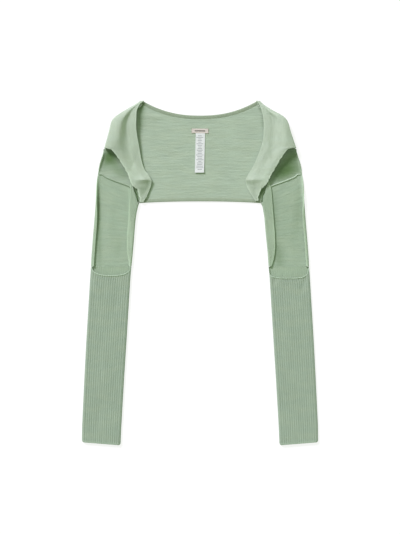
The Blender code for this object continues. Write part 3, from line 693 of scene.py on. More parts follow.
# Colour that the painted shade of the depth mask multiplies in
PAINTED_SHADE_TINT = (0.30, 0.42, 0.22, 1.0)
GRAIN_SPAN = (0.3, 0.7)
NAP_ROUGHNESS = (0.86, 0.98)

# Relief of the stitches, in shares of the stitch height
PURL_WAVE = 0.18
PURL_HEIGHT = 0.8
PURL_SCALES = (38.0, 240.0)
PURL_UNEVEN = 3.4
JERSEY_SLANT = 0.9
JERSEY_ROUNDNESS = 0.5
JERSEY_SCALES = (130.0, 60.0)
JERSEY_UNEVEN = 1.6
FUZZ_SCALE = 900.0
FUZZ_HEIGHT = 0.5
RIB_STITCH_SHARE = 0.5

# Shine and nap of the knit, and where its painted highlight and painted shade masks fade out on faces
# that look down
SPECULAR_LEVEL = 0.25
KNIT_ROUGHNESS = 0.92
SHEEN_WEIGHT = 0.12
SHEEN_ROUGHNESS = 0.5
SHEEN_TINT = (0.90, 1.0, 0.88, 1.0)
DOWN_FADE = (-0.5, -0.1)

# Neck label: weave, plain line and border
WOVEN_ROUGHNESS = 0.8
WARP_PITCH = 0.0006
WEFT_PITCH = 0.0005
WEAVE_HEIGHT = 0.00005
LINE_SPAN = (0.0012, 0.0017)
LINE_END_SPAN = (0.0115, 0.0122)
LINE_STRENGTH = 0.8
BORDER_SPAN = (0.0040, 0.0046)
BORDER_STRENGTH = 0.30
BORDER_COLOUR = (0.72, 0.66, 0.58, 1.0)
WOVEN_GRAIN_SCALE = 900.0
WOVEN_GRAIN_MOST = 0.15
WOVEN_GRAIN_COLOUR = (0.48, 0.42, 0.36, 1.0)

# Care label: rows of plain rules of uneven length, and ripples of the satin
SATIN_ROUGHNESS = 0.42
RULE_PITCH = 0.0036
RULE_SEED = 7.31
RULE_REACH_SPAN = (0.25, 0.75)
RULE_REACH = (0.0035, 0.0082)
RULE_ASIDE = 0.0004
RULE_SPAN = (0.55, 0.62)
RULE_MARGIN = (0.0395, 0.0400)
RULE_STRENGTH = 0.78
RIPPLE_SCALES = (90.0, 320.0)
RIPPLE_SPAN = (0.2, 0.8)
RIPPLE_ROUGHNESS = (0.34, 0.52)
RIPPLE_HEIGHT = 0.00025

# Sewing thread
THREAD_ROUGHNESS = 0.7
THREAD_GRAIN_SCALE = 1500.0
THREAD_DARK = (0.50, 0.45, 0.38, 1.0)
THREAD_PALE = (0.66, 0.60, 0.52, 1.0)

# Knit finishes: streaks along the courses are in metres
KnitFinish = namedtuple(
    "KnitFinish", "relief colour streak_length streak_height contrast stitch_share")
KNIT_FINISHES = {
    "Jersey outside": KnitFinish("Jersey relief", "jersey_colour", 0.012, 0.030, 0.05, 1.0),
    "Jersey inside": KnitFinish("Purl relief", "inside_colour", 0.045, 0.0050, 0.075, 1.0),
    "Rolled jersey": KnitFinish("Jersey relief", "roll_colour", 0.012, 0.030, 0.05, 1.0),
    "Sleeve outside": KnitFinish("Jersey relief", "strip_colour", 0.012, 0.030, 0.05, 1.0),
    "Sleeve inside": KnitFinish("Purl relief", "sleeve_colour", 0.045, 0.0060, 0.07, 1.0),
    "Rib outside": KnitFinish(
        "Jersey relief", "rib_colour", 0.006, 0.045, 0.05, RIB_STITCH_SHARE),
    "Rib inside": KnitFinish(
        "Jersey relief", "rib_inside_colour", 0.006, 0.030, 0.05, RIB_STITCH_SHARE),
}


class Tree:
    """Short ways to add and join the nodes of one shader tree."""

    def __init__(self, tree):
        self.tree = tree

    def node(self, kind, **settings):
        made = self.tree.nodes.new(kind)
        for name, value in settings.items():
            setattr(made, name, value)
        return made

    def join(self, value, socket):
        """Links an output to a socket, or sets the socket to a plain value."""
        if isinstance(value, bpy.types.NodeSocket):
            self.tree.links.new(value, socket)
        else:
            socket.default_value = value

    def fill(self, made, *values):
        """Joins values to a node's inputs in order, and gives its first output."""
        for value, socket in zip(values, made.inputs):
            self.join(value, socket)
        return made.outputs[0]

    def maths(self, operation, *values):
        return self.fill(self.node("ShaderNodeMath", operation=operation), *values)

    def plus(self, first, second):
        return self.maths("ADD", first, second)

    def times(self, first, second):
        return self.maths("MULTIPLY", first, second)

    def pack(self, x, y, z=0.0):
        return self.fill(self.node("ShaderNodeCombineXYZ"), x, y, z)

    def unpack(self, vector):
        made = self.node("ShaderNodeSeparateXYZ")
        self.join(vector, made.inputs[0])
        return made.outputs[0], made.outputs[1]

    def stretch(self, u, v, scales):
        """The knit map with its two directions scaled."""
        return self.pack(self.times(u, scales[0]), self.times(v, scales[1]))

    def noise(self, vector, scale, detail=2.0, roughness=0.5):
        made = self.node("ShaderNodeTexNoise")
        self.join(vector, made.inputs["Vector"])
        self.join(scale, made.inputs["Scale"])
        self.join(detail, made.inputs["Detail"])
        self.join(roughness, made.inputs["Roughness"])
        return made.outputs[0]

    def span(self, value, low, high, to_low, to_high):
        """Maps a value from one range to another, held at both ends."""
        made = self.node("ShaderNodeMapRange", interpolation_type="SMOOTHSTEP")
        return self.fill(made, value, low, high, to_low, to_high)

    def scaled(self, colour, amount):
        """A colour times a plain value."""
        made = self.node("ShaderNodeVectorMath", operation="SCALE")
        self.join(colour, made.inputs[0])
        self.join(amount, made.inputs["Scale"])
        return made.outputs[0]

    def blend(self, share, first, second, way="MIX"):
        """Mixes two colours, or multiplies them where the way says so."""
        made = self.node("ShaderNodeMix", data_type="RGBA", blend_type=way)
        self.join(share, made.inputs[0])
        self.join(first, made.inputs[MIX_FIRST])
        self.join(second, made.inputs[MIX_SECOND])
        return made.outputs[MIX_RESULT]


def start_group(name, inputs, outputs):
    """A shader node group with the named sockets, as (tree, inputs, outputs)."""
    group = bpy.data.node_groups.new(name, "ShaderNodeTree")
    for label, kind in inputs:
        group.interface.new_socket(label, in_out="INPUT", socket_type=kind)
    for label, kind in outputs:
        group.interface.new_socket(label, in_out="OUTPUT", socket_type=kind)
    tree = Tree(group)
    source = tree.node("NodeGroupInput").outputs
    target = tree.node("NodeGroupOutput").inputs
    return tree, source, target


def yarn_tone_and_painted_light_group():
    """Streaks along the courses and mottled yarn, with painted highlights on edges and pale places, and
    painted shade in stitch grooves, pockets and cast shadows.
    """
    tree, source, target = start_group(
        "Yarn tone",
        (("Knit", VECTOR), ("Yarn", COLOUR), ("Streak Length", FLOAT), ("Streak Height", FLOAT),
         ("Contrast", FLOAT), ("Edge", FLOAT), ("Depth", FLOAT), ("Groove", FLOAT)),
        (("Color", COLOUR), ("Roughness", FLOAT)))
    u, v = tree.unpack(source["Knit"])
    warp = tree.noise(tree.stretch(u, v, WARP_SCALES), 1.0, 1.0)
    bent_v = tree.plus(v, tree.times(warp, WARP_REACH))
    streak_u = tree.maths("DIVIDE", u, source["Streak Length"])
    streak_v = tree.maths("DIVIDE", bent_v, source["Streak Height"])
    streak = tree.noise(tree.pack(streak_u, streak_v), 1.0, FINE_DETAIL, FINE_ROUGHNESS)
    mottle = tree.noise(source["Knit"], MOTTLE_SCALE)
    fleck = tree.noise(source["Knit"], FLECK_SCALE)
    total = tree.plus(tree.times(streak, STREAK_SHARE), tree.times(mottle, MOTTLE_SHARE))
    total = tree.plus(total, tree.times(fleck, FLECK_SHARE))
    shade = tree.times(tree.span(total, *TONE_SPAN, -1.0, 1.0), source["Contrast"])
    shade = tree.plus(shade, tree.times(source["Edge"], PAINTED_HIGHLIGHT_GAIN))
    shade = tree.maths("SUBTRACT", shade, tree.times(source["Groove"], GROOVE_PAINTED_SHADE))
    toned = tree.scaled(source["Yarn"], tree.plus(1.0, shade))
    warm = tree.noise(tree.stretch(u, v, WARM_SCALES), 1.0)
    colour = tree.blend(tree.span(warm, *WARM_SPAN, 0.0, WARM_MOST), toned, WARM_YARN)
    colour = tree.blend(source["Depth"], colour, PAINTED_SHADE_TINT, "MULTIPLY")
    tree.join(colour, target["Color"])
    tree.join(tree.span(fleck, *GRAIN_SPAN, *NAP_ROUGHNESS), target["Roughness"])


def purl_relief_group():
    """Rows of purl bumps, with thick and thin rows: the inside of plain knit."""
    tree, source, target = start_group("Purl relief", RELIEF_INPUTS, RELIEF_OUTPUTS)
    u, v = tree.unpack(source["Knit"])
    wale = tree.maths("DIVIDE", u, source["Stitch"])
    wave = tree.maths("SINE", tree.times(wale, 2.0 * math.pi))
    row = tree.plus(tree.maths("DIVIDE", v, source["Course"]), tree.times(wave, PURL_WAVE))
    ridge = tree.maths("ABSOLUTE", tree.maths("SINE", tree.times(row, math.pi)))
    uneven = tree.noise(tree.stretch(u, v, PURL_SCALES), 1.0, FINE_DETAIL, FINE_ROUGHNESS)
    height = tree.plus(tree.times(ridge, PURL_HEIGHT), tree.times(uneven, PURL_UNEVEN))
    end_relief(tree, source, target, height, ridge)


def jersey_relief_group():
    """Columns of V stitches: the outside of plain knit."""
    tree, source, target = start_group("Jersey relief", RELIEF_INPUTS, RELIEF_OUTPUTS)
    u, v = tree.unpack(source["Knit"])
    wale = tree.maths("FRACT", tree.maths("DIVIDE", u, source["Stitch"]))
    leg = tree.maths("ABSOLUTE", tree.maths("SUBTRACT", tree.times(wale, 2.0), 1.0))
    row = tree.plus(tree.maths("DIVIDE", v, source["Course"]), tree.times(leg, JERSEY_SLANT))
    yarn = tree.maths("ABSOLUTE", tree.maths("SINE", tree.times(row, math.pi)))
    column = tree.maths("SINE", tree.times(leg, math.pi))
    stitch = tree.times(yarn, tree.maths("POWER", column, JERSEY_ROUNDNESS))
    uneven = tree.noise(tree.stretch(u, v, JERSEY_SCALES), 1.0)
    height = tree.plus(stitch, tree.times(uneven, JERSEY_UNEVEN))
    end_relief(tree, source, target, height, stitch)


def end_relief(tree, source, target, height, stitch):
    """Adds the fuzz of the yarn, and sets the height and the grooves between stitches, which get
    painted shade.
    """
    fuzz = tree.noise(source["Knit"], FUZZ_SCALE)
    height = tree.plus(height, tree.times(fuzz, FUZZ_HEIGHT))
    tree.join(tree.times(height, source["Relief"]), target["Height"])
    tree.join(tree.maths("SUBTRACT", 1.0, stitch), target["Groove"])


def knit_vector(tree):
    return tree.node("ShaderNodeUVMap", uv_map=KNIT_MAP).outputs[0]


def mask_value(tree, name):
    """A vertex mask of painted light on the upper faces, faded out where the cloth looks down."""
    mask = tree.node("ShaderNodeAttribute", attribute_name=name).outputs["Fac"]
    split = tree.node("ShaderNodeSeparateXYZ")
    tree.join(tree.node("ShaderNodeTexCoord").outputs["Normal"], split.inputs[0])
    return tree.times(mask, tree.span(split.outputs["Z"], *DOWN_FADE, 0.0, 1.0))


def start_material(name, roughness):
    """A new material, as (material, tree, Principled shader)."""
    material = bpy.data.materials.new(name)
    material.use_nodes = True
    tree = Tree(material.node_tree)
    shader = material.node_tree.nodes["Principled BSDF"]
    shader.inputs["Roughness"].default_value = roughness
    shader.inputs["Specular IOR Level"].default_value = SPECULAR_LEVEL
    return material, tree, shader


def use_group(tree, name, **values):
    """Places a node group and sets its inputs by name, with spaces for underscores."""
    made = tree.node("ShaderNodeGroup", node_tree=bpy.data.node_groups[name])
    for label, value in values.items():
        tree.join(value, made.inputs[label.replace("_", " ")])
    return made.outputs


def add_bump(tree, shader, height):
    bump = tree.node("ShaderNodeBump")
    bump.inputs["Strength"].default_value = 1.0
    bump.inputs["Distance"].default_value = 1.0
    tree.join(height, bump.inputs["Height"])
    tree.join(bump.outputs[0], shader.inputs["Normal"])


def opaque(colour):
    return (colour[0], colour[1], colour[2], 1.0)


def knit_material(name, knit):
    """Knit with its stitches, streaks and a soft nap."""
    kind = KNIT_FINISHES[name]
    material, tree, shader = start_material(name, KNIT_ROUGHNESS)
    vector = knit_vector(tree)
    relief = use_group(tree, kind.relief, Knit=vector, Stitch=knit.stitch,
                       Course=knit.course, Relief=knit.relief * kind.stitch_share)
    tone = use_group(tree, "Yarn tone", Knit=vector, Yarn=opaque(getattr(knit, kind.colour)),
                     Streak_Length=kind.streak_length, Streak_Height=kind.streak_height,
                     Contrast=kind.contrast, Edge=mask_value(tree, PAINTED_HIGHLIGHT_MASK),
                     Depth=mask_value(tree, PAINTED_SHADE_MASK), Groove=relief["Groove"])
    tree.join(tone["Color"], shader.inputs["Base Color"])
    tree.join(tone["Roughness"], shader.inputs["Roughness"])
    shader.inputs["Sheen Weight"].default_value = SHEEN_WEIGHT
    shader.inputs["Sheen Roughness"].default_value = SHEEN_ROUGHNESS
    shader.inputs["Sheen Tint"].default_value = SHEEN_TINT
    add_bump(tree, shader, relief["Height"])
    return material


def woven_material(labels):
    """Beige woven tape with a plain dark line along its middle."""
    material, tree, shader = start_material("Beige woven tape", WOVEN_ROUGHNESS)
    vector = knit_vector(tree)
    u, v = tree.unpack(vector)
    warp = tree.maths("SINE", tree.times(u, 2.0 * math.pi / WARP_PITCH))
    weft = tree.maths("SINE", tree.times(v, 2.0 * math.pi / WEFT_PITCH))
    add_bump(tree, shader, tree.times(tree.times(warp, weft), WEAVE_HEIGHT))
    middle = tree.maths("ABSOLUTE", v)
    aside = tree.maths("ABSOLUTE", u)
    in_line = tree.times(tree.span(middle, *LINE_SPAN, 1.0, 0.0),
                         tree.span(aside, *LINE_END_SPAN, 1.0, 0.0))
    border = tree.span(middle, *BORDER_SPAN, 0.0, BORDER_STRENGTH)
    grain = tree.noise(vector, WOVEN_GRAIN_SCALE)
    grain = tree.span(grain, *GRAIN_SPAN, 0.0, WOVEN_GRAIN_MOST)
    colour = tree.blend(grain, opaque(labels.woven_colour), WOVEN_GRAIN_COLOUR)
    colour = tree.blend(border, colour, BORDER_COLOUR)
    colour = tree.blend(tree.times(in_line, LINE_STRENGTH), colour, opaque(labels.line_colour))
    tree.join(colour, shader.inputs["Base Color"])
    return material


def satin_material(labels):
    """White satin tape with plain grey rules."""
    material, tree, shader = start_material("White satin tape", SATIN_ROUGHNESS)
    u, v = tree.unpack(knit_vector(tree))
    number = tree.maths("FLOOR", tree.maths("DIVIDE", v, RULE_PITCH))
    place_in_row = tree.maths("FRACT", tree.maths("DIVIDE", v, RULE_PITCH))
    reach = tree.noise(tree.pack(tree.times(number, RULE_SEED), 0.5), 1.0, 0.0)
    reach = tree.span(reach, *RULE_REACH_SPAN, *RULE_REACH)
    inside = tree.maths("LESS_THAN", tree.maths("ABSOLUTE", tree.plus(u, RULE_ASIDE)), reach)
    rule = tree.times(tree.span(place_in_row, *RULE_SPAN, 0.0, 1.0), inside)
    margin = tree.span(tree.maths("ABSOLUTE", v), *RULE_MARGIN, 1.0, 0.0)
    rule = tree.times(tree.times(rule, margin), RULE_STRENGTH)
    colour = tree.blend(rule, opaque(labels.satin_colour), opaque(labels.rule_colour))
    tree.join(colour, shader.inputs["Base Color"])
    ripple = tree.noise(tree.stretch(u, v, RIPPLE_SCALES), 1.0)
    tree.join(tree.span(ripple, *RIPPLE_SPAN, *RIPPLE_ROUGHNESS), shader.inputs["Roughness"])
    add_bump(tree, shader, tree.times(ripple, RIPPLE_HEIGHT))
    return material


def thread_material():
    """Thread with a fine grain."""
    material, tree, shader = start_material("Sewing thread", THREAD_ROUGHNESS)
    grain = tree.noise(tree.node("ShaderNodeTexCoord").outputs["Object"], THREAD_GRAIN_SCALE)
    grain = tree.span(grain, *GRAIN_SPAN, 0.0, 1.0)
    tree.join(tree.blend(grain, THREAD_DARK, THREAD_PALE), shader.inputs["Base Color"])
    return material


LABEL_FINISHES = {"Beige woven tape": woven_material, "White satin tape": satin_material}


def finish(name):
    """A finish by name, made the first time that a piece asks for it."""
    made = bpy.data.materials.get(name)
    if made:
        return made
    if "Yarn tone" not in bpy.data.node_groups:
        yarn_tone_and_painted_light_group()
        purl_relief_group()
        jersey_relief_group()
    scene = bpy.context.scene
    if name in KNIT_FINISHES:
        return knit_material(name, scene.shrug_knit)
    if name == "Sewing thread":
        return thread_material()
    return LABEL_FINISHES[name](scene.shrug_labels)


def make_mesh(name, points, faces, knit, masks, painted_light=NO_PAINTED_LIGHT):
    """A mesh object with its knit map and vertex masks, with meeting points welded."""
    mesh = bpy.data.meshes.new(name)
    mesh.from_pydata([tuple(point) for point in points], [], faces)
    corners = np.empty(len(mesh.loops), np.int32)
    mesh.loops.foreach_get("vertex_index", corners)
    layer = mesh.uv_layers.new(name=KNIT_MAP)
    layer.data.foreach_set("uv", np.array(knit, np.float32)[corners].ravel())
    masks = dict(masks)
    # Positive tones add painted shade to the depth mask, kept off the painted highlights of edges.
    # Negative tones add painted highlights to the edge mask.
    tone = np.array([crease_height(painted_light, spot[0], spot[1]) for spot in points])
    edge = np.array(masks.get(PAINTED_HIGHLIGHT_MASK, np.zeros(len(points))))
    painted_shadow = np.clip(tone, 0.0, 1.0) * (1.0 - RIM_CLEAR * np.clip(edge, 0.0, 1.0))
    masks[PAINTED_SHADE_MASK] = painted_shadow + np.array(masks.get(PAINTED_SHADE_MASK, np.zeros(len(points))))
    masks[PAINTED_HIGHLIGHT_MASK] = edge + np.clip(-tone, 0.0, 1.0)
    for label, values in masks.items():
        attribute = mesh.attributes.new(label, "FLOAT", "POINT")
        attribute.data.foreach_set("value", np.array(values, np.float32))
    work = bmesh.new()
    work.from_mesh(mesh)
    bmesh.ops.remove_doubles(work, verts=work.verts, dist=WELD_DISTANCE)
    work.to_mesh(mesh)
    work.free()
    mesh.shade_smooth()
    piece = bpy.data.objects.new(name, mesh)
    bpy.context.scene.collection.objects.link(piece)
    return piece


def make_shell(name, sheets, flip, thickness, outside, inside, painted_light=NO_PAINTED_LIGHT):
    """A thin cloth shell through grids of points, thickened to its inner side."""
    points, knit, walls, edges, faces = [], [], [], [], []
    for sheet in sheets:
        start = len(points)
        rows, columns = sheet.points.shape[:2]
        points.extend(sheet.points.reshape(-1, 3))
        knit.extend(sheet.knit.reshape(-1, 2))
        walls.extend(sheet.wall.ravel())
        edges.extend(sheet.edge.ravel())
        for row in range(rows - 1):
            for column in range(columns - 1):
                corner = start + row * columns + column
                face = [corner, corner + 1, corner + columns + 1, corner + columns]
                if flip:
                    face.reverse()
                faces.append(face)
    piece = make_mesh(name, points, faces, knit, {PAINTED_HIGHLIGHT_MASK: edges, WALL_MASK: walls}, painted_light)
    most = max(walls)
    shares = np.empty(len(piece.data.vertices), np.float32)
    piece.data.attributes[WALL_MASK].data.foreach_get("value", shares)
    piece.data.attributes.remove(piece.data.attributes[WALL_MASK])
    group = piece.vertex_groups.new(name=WALL_GROUP)
    for index, share in enumerate(shares):
        group.add([index], float(share) / most, "REPLACE")
    piece.data.materials.append(finish(outside))
    piece.data.materials.append(finish(inside))
    wall = piece.modifiers.new("Cloth", "SOLIDIFY")
    wall.thickness = thickness * most
    wall.offset = -1.0
    wall.use_quality_normals = True
    wall.vertex_group = WALL_GROUP
    wall.material_offset = 1
    rounding = piece.modifiers.new("Rounded edges", "BEVEL")
    rounding.width = thickness * ROUNDING_SHARE
    rounding.segments = 2
    rounding.limit_method = "ANGLE"
    rounding.angle_limit = ROUNDING_ANGLE
    return piece


def place(piece, slot, *nodes):
    """Puts a piece on the body, in the place of its solids."""
    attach(piece, BODY)
    if nodes:
        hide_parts(*nodes)
    return piece


def near_edge(distance, knit):
    """Share of the bead of a free edge at a distance from it."""
    return math.exp(-((distance / knit.bead_width) ** 2))


def bead(distance, knit):
    """Extra wall share near a free edge, as (wall share, painted highlight mask)."""
    near = near_edge(distance, knit)
    return 1.0 + near * knit.edge_bead / knit.cloth, near


def curled_edge(tip, outward, length, degrees, flat, count):
    """A free edge that turns up from the table, given from the table outwards."""
    angle = math.radians(degrees)
    radius = length / angle
    base = tip - outward * (radius * math.sin(min(angle, math.pi / 2)))
    points = []
    for share in steps(count):
        turn = angle * share
        rise = radius * (1.0 - math.cos(turn))
        points.append(base + outward * (radius * math.sin(turn)) + Vector((0, 0, rise)))
    last = outward * math.cos(angle) + Vector((0, 0, math.sin(angle)))
    points.append(points[-1] + last * flat)
    return points


def table_outward(side, number):
    """Plan direction out of the garment at one of the folded table rows."""
    if number == FOLDED_ROWS - 1:
        return Vector((float(side), 0.0, 0.0))
    before = FRONT_ROWS[side][max(number - 1, 0)]
    after = FRONT_ROWS[side][min(number + 1, FOLDED_ROWS - 1)]
    run = Vector((after.edge_x - before.edge_x, after.edge_y - before.edge_y, 0.0))
    return Vector((-run.y, run.x, 0.0)).normalized() * side


def table_seam(side, number):
    """End of the front's wrap on the table at one of the folded table rows."""
    row = FRONT_ROWS[side][number]
    return Vector((row.edge_x, row.edge_y, 0.0)) - table_outward(side, number) * WRAP_UNDER


def between_folded(side, index, measure):
    """A measure of the folded table rows, read between them."""
    number = min(index // ROWS_PER_STEP, FOLDED_ROWS - 2)
    share = index / ROWS_PER_STEP - number
    return measure(side, number).lerp(measure(side, number + 1), share)


def front_wrap(side, index):
    """Section of the shoulder fold from its seam on the table to its top."""
    row = FRONTS[side][index]
    outward = between_folded(side, index, table_outward).normalized()
    edge = Vector((row.edge_x, row.edge_y, 0.0))
    reach = min(row.crown * FOLD_REACH_SHARE + FOLD_REACH_BASE, FOLD_REACH_MOST)
    centre = edge - outward * reach
    seam = between_folded(side, index, table_seam)
    points = [seam]
    for share in steps(WRAP_STEPS):
        turn = mix(-math.pi / 2, FOLD_END_TURN, share)
        rise = 0.5 * row.crown * (1.0 + math.sin(turn))
        points.append(centre + outward * (reach * math.cos(turn)) + Vector((0, 0, rise)))
    return points


def edge_wave(index):
    """How far the cut-out edge of a front waves out at a row, none at its two ends."""
    run = index - LAST_FOLDED
    rows = (len(FRONT_ROWS[LEFT]) - FOLDED_ROWS) * ROWS_PER_STEP
    fade = ease(min(run, rows - run) / EDGE_WAVE_FADE)
    short = math.sin(2.0 * math.pi * run / EDGE_WAVE_SHORT)
    long = math.sin(2.0 * math.pi * run / EDGE_WAVE_LONG)
    return EDGE_WAVE * fade * (EDGE_WAVE_SHORT_SHARE * short + EDGE_WAVE_LONG_SHARE * long)


def front_top(side, index):
    """Section of the top layer, from the fold or cut-out edge to the neck edge."""
    row = FRONTS[side][index]
    end = Vector((row.neck_x, row.neck_y, row.neck_z))
    if index <= LAST_FOLDED:
        start = front_wrap(side, index)[-1]
        crown_place = min(CROWN_RUN[side] / (end - start).length, CROWN_MOST)
    else:
        start = Vector((row.edge_x, row.edge_y, row.crown))
        start += (start - end).normalized() * edge_wave(index)
        crown_place = CUT_OUT_CROWN
    dip_place = max(DIP_PLACE, 1.0 - DIP_INSET / (end - start).length)
    points = []
    for share in steps(TOP_SAMPLES):
        point = start.lerp(end, share)
        if share < crown_place:
            point.z = mix(start.z, row.crown, math.sin(0.5 * math.pi * share / crown_place))
        elif share < dip_place:
            down = (share - crown_place) / (dip_place - crown_place)
            point.z = mix(row.crown, row.dip, ease(down ** DESCENT[side]))
        else:
            rest = (share - dip_place) / (1.0 - dip_place)
            point.z = mix(row.dip, row.neck_z, ease(rest))
        fade = ease(min(share, 1.0 - share) * FRONT_CREASE_FADE)
        point.z += fade * crease_height(FRONT_CREASES, point.x, point.y)
        points.append(point)
    return points


def band_width(side, index, length, bands):
    """Width of the front band, narrower along the lower hem and at the neck point."""
    row = FRONTS[side][index]
    turn = (BAND_TURN_START_Y - row.neck_y) / (BAND_TURN_START_Y - BAND_TURN_END_Y)
    return min(mix(bands.front_width, bands.hem_width, ease(turn)), length * BAND_SHARE)


def as_grid(rows):
    return np.array([[tuple(point) for point in row] for row in rows])


def make_sheet(rows, walls, edges):
    """Grid of section rows, with knit map: u across from the row's end, v down the rows."""
    points = as_grid(rows)
    across = np.linalg.norm(np.diff(points, axis=1), axis=2)
    u = np.concatenate([np.zeros((len(rows), 1)), np.cumsum(across, axis=1)], axis=1)
    u = u - u[:, -1:]
    down = np.linalg.norm(np.diff(points, axis=0), axis=2).mean(axis=1)
    v = np.concatenate([[0.0], -np.cumsum(down)])
    knit = np.stack([u, np.repeat(v[:, None], u.shape[1], axis=1)], axis=2)
    return Sheet(points, knit, np.array(walls), np.array(edges))


def even(rows, value):
    return [[value] * len(row) for row in rows]


def front_sheets(side, knit, bands):
    """Top layer, shoulder fold and band of one front."""
    top_rows, wrap_rows, band_rows, walls, edges = [], [], [], [], []
    for index in range(len(FRONTS[side])):
        section = list(reversed(front_top(side, index)))
        length = line_length(section)
        width = band_width(side, index, length, bands)
        shares = steps(BAND_COLUMNS)
        band_rows.append(list(reversed(along(section, [width * share for share in shares]))))
        start = width + bands.seam
        distances = [mix(start, length, share) for share in steps(FRONT_COLUMNS)]
        top_rows.append(list(reversed(along(section, distances))))
        if index <= LAST_FOLDED:
            wrap_rows.append(front_wrap(side, index))
            walls.append([1.0] * (FRONT_COLUMNS + 1))
            edges.append([0.0] * (FRONT_COLUMNS + 1))
        else:
            beads = [bead(length - distance, knit) for distance in reversed(distances)]
            walls.append([wall for wall, _ in beads])
            edges.append([edge for _, edge in beads])
    glow = [BAND_EDGE_GLOW * share ** BAND_EDGE_POWER for share in steps(BAND_COLUMNS)]
    top = make_sheet(top_rows, walls, edges)
    wrap = make_sheet(wrap_rows, even(wrap_rows, 1.0), even(wrap_rows, 0.0))
    band = make_sheet(band_rows, even(band_rows, 1.0), [glow] * len(band_rows))
    return top, wrap, band


def back_side(side):
    """Side line of the back panel from the hem to the collar, as rows of x, y, curl."""
    rows = []
    for spot in list(reversed(ARMHOLE_SEAM))[:-1]:
        rows.append((-side * (spot.x + SEAM_GAP * DIAGONAL), spot.y + SEAM_GAP * DIAGONAL, 0.0))
    bands = bpy.context.scene.shrug_bands
    rows[0] = (rows[0][0], hem_line(rows[0][0]) + bands.roll_width + SEAM_GAP, 0.0)
    top = ARMHOLE_SEAM[0]
    rows.append((-side * top.x, top.y + SEAM_GAP, 0.0))
    for spot in BACK_FREE_EDGE:
        rows.append((-side * spot.x, spot.y, spot.curl_degrees))
    for number in reversed(range(FOLDED_ROWS)):
        seam = table_seam(side, number) - table_outward(side, number) * SEAM_GAP
        rows.append((seam.x, seam.y, 0.0))
    before_x, before_y, _ = rows[-2]
    x, y, curl = rows[-1]
    share = (back_top_line(x) - before_y) / (y - before_y)
    rows[-1] = (mix(before_x, x, share), mix(before_y, y, share), curl)
    top_of_seam = len(ARMHOLE_SEAM) - 1
    fold_start = len(ARMHOLE_SEAM) + len(BACK_FREE_EDGE)
    corners = {0, top_of_seam - 1, top_of_seam, fold_start, len(rows) - 1}
    return refine(rows, corners, BACK_HALVINGS)


def back_top_line(x):
    """Upper line of the back panel, just under the neck band."""
    bands = bpy.context.scene.shrug_bands
    slope = NECK_RISE * LINE_POWER / NECK_HALF_WIDTH * abs(x / NECK_HALF_WIDTH) ** (LINE_POWER - 1)
    return neck_line(x) - (bands.roll_width + SEAM_GAP) * math.sqrt(1.0 + slope * slope)


def side_lip(row, side):
    """Last few points of a back row, flat along a seam or curled up at a free edge."""
    x, y, curl = row
    outward = Vector((float(side), 0.0, 0.0))
    degrees = max(curl, FLAT_CURL)
    points = curled_edge(Vector((x, y, 0.0)), outward, BACK_LIP_LENGTH, degrees, 0.0, LIP_STEPS)[:-1]
    if curl <= 0.0:
        for point in points:
            point.z = 0.0
    return points


def back_sheet(knit):
    """The back panel as one grid, hem to collar."""
    left = back_side(LEFT)
    right = back_side(RIGHT)
    bands = bpy.context.scene.shrug_bands
    bottom = HEM_CENTRE_Y + bands.roll_width + SEAM_GAP
    top = back_top_line(0.0)
    rows, walls, edges = [], [], []
    for index, (left_row, right_row) in enumerate(zip(left, right)):
        side_share = (left_row[1] - left[0][1]) / (left[-1][1] - left[0][1])
        centre_y = mix(bottom, top, mix(side_share, index / (len(left) - 1), 0.5))
        left_lip = side_lip(left_row, LEFT)
        right_lip = side_lip(right_row, RIGHT)
        row = list(reversed(left_lip))
        for share in steps(BACK_COLUMNS)[1:-1]:
            row.append(left_lip[0].lerp(right_lip[0], share))
        row.extend(right_lip)
        wall_row, edge_row = [], []
        for point in row:
            end_row = left_row if point.x < 0.0 else right_row
            share = min(abs(point.x / end_row[0]), 1.0)
            point.y = mix(centre_y, end_row[1], share ** LINE_POWER)
            free = min(end_row[2] / FULL_CURL, 1.0)
            wall, edge = bead(abs(end_row[0] - point.x) + point.z, knit)
            crease = crease_height(BACK_CREASES, point.x, point.y) / knit.cloth
            wall_row.append(mix(1.0, wall, free) + crease)
            edge_row.append(edge * free)
        rows.append(row)
        walls.append(wall_row)
        edges.append(edge_row)
    points = as_grid(rows)
    return Sheet(points, points[:, :, :2].copy(), np.array(walls), np.array(edges))


def seam_drops(side):
    """Places across the flat of the sleeve, and how far the seam lies off the straight there."""
    top = SLEEVES[side][0]
    start = Vector((side * (abs(top.outer_x) - SLEEVE_LIP_LENGTH), top.outer_y, 0.0))
    end = Vector((side * (abs(top.inner_x) + SLEEVE_FOLD_REACH), top.inner_y, 0.0))
    found = []
    xs = [-side * spot.x for spot in SEAM_LINE]
    ys = [spot.y - SEAM_GAP for spot in SEAM_LINE]
    order = np.argsort(xs)
    for across in steps(FLAT_STEPS):
        spot = start.lerp(end, across)
        seam_y = np.interp(spot.x, np.array(xs)[order], np.array(ys)[order])
        ends_fade = min(1.0, min(across, 1.0 - across) * FLAT_STEPS)
        found.append((across, (seam_y - spot.y) * ends_fade))
    return found


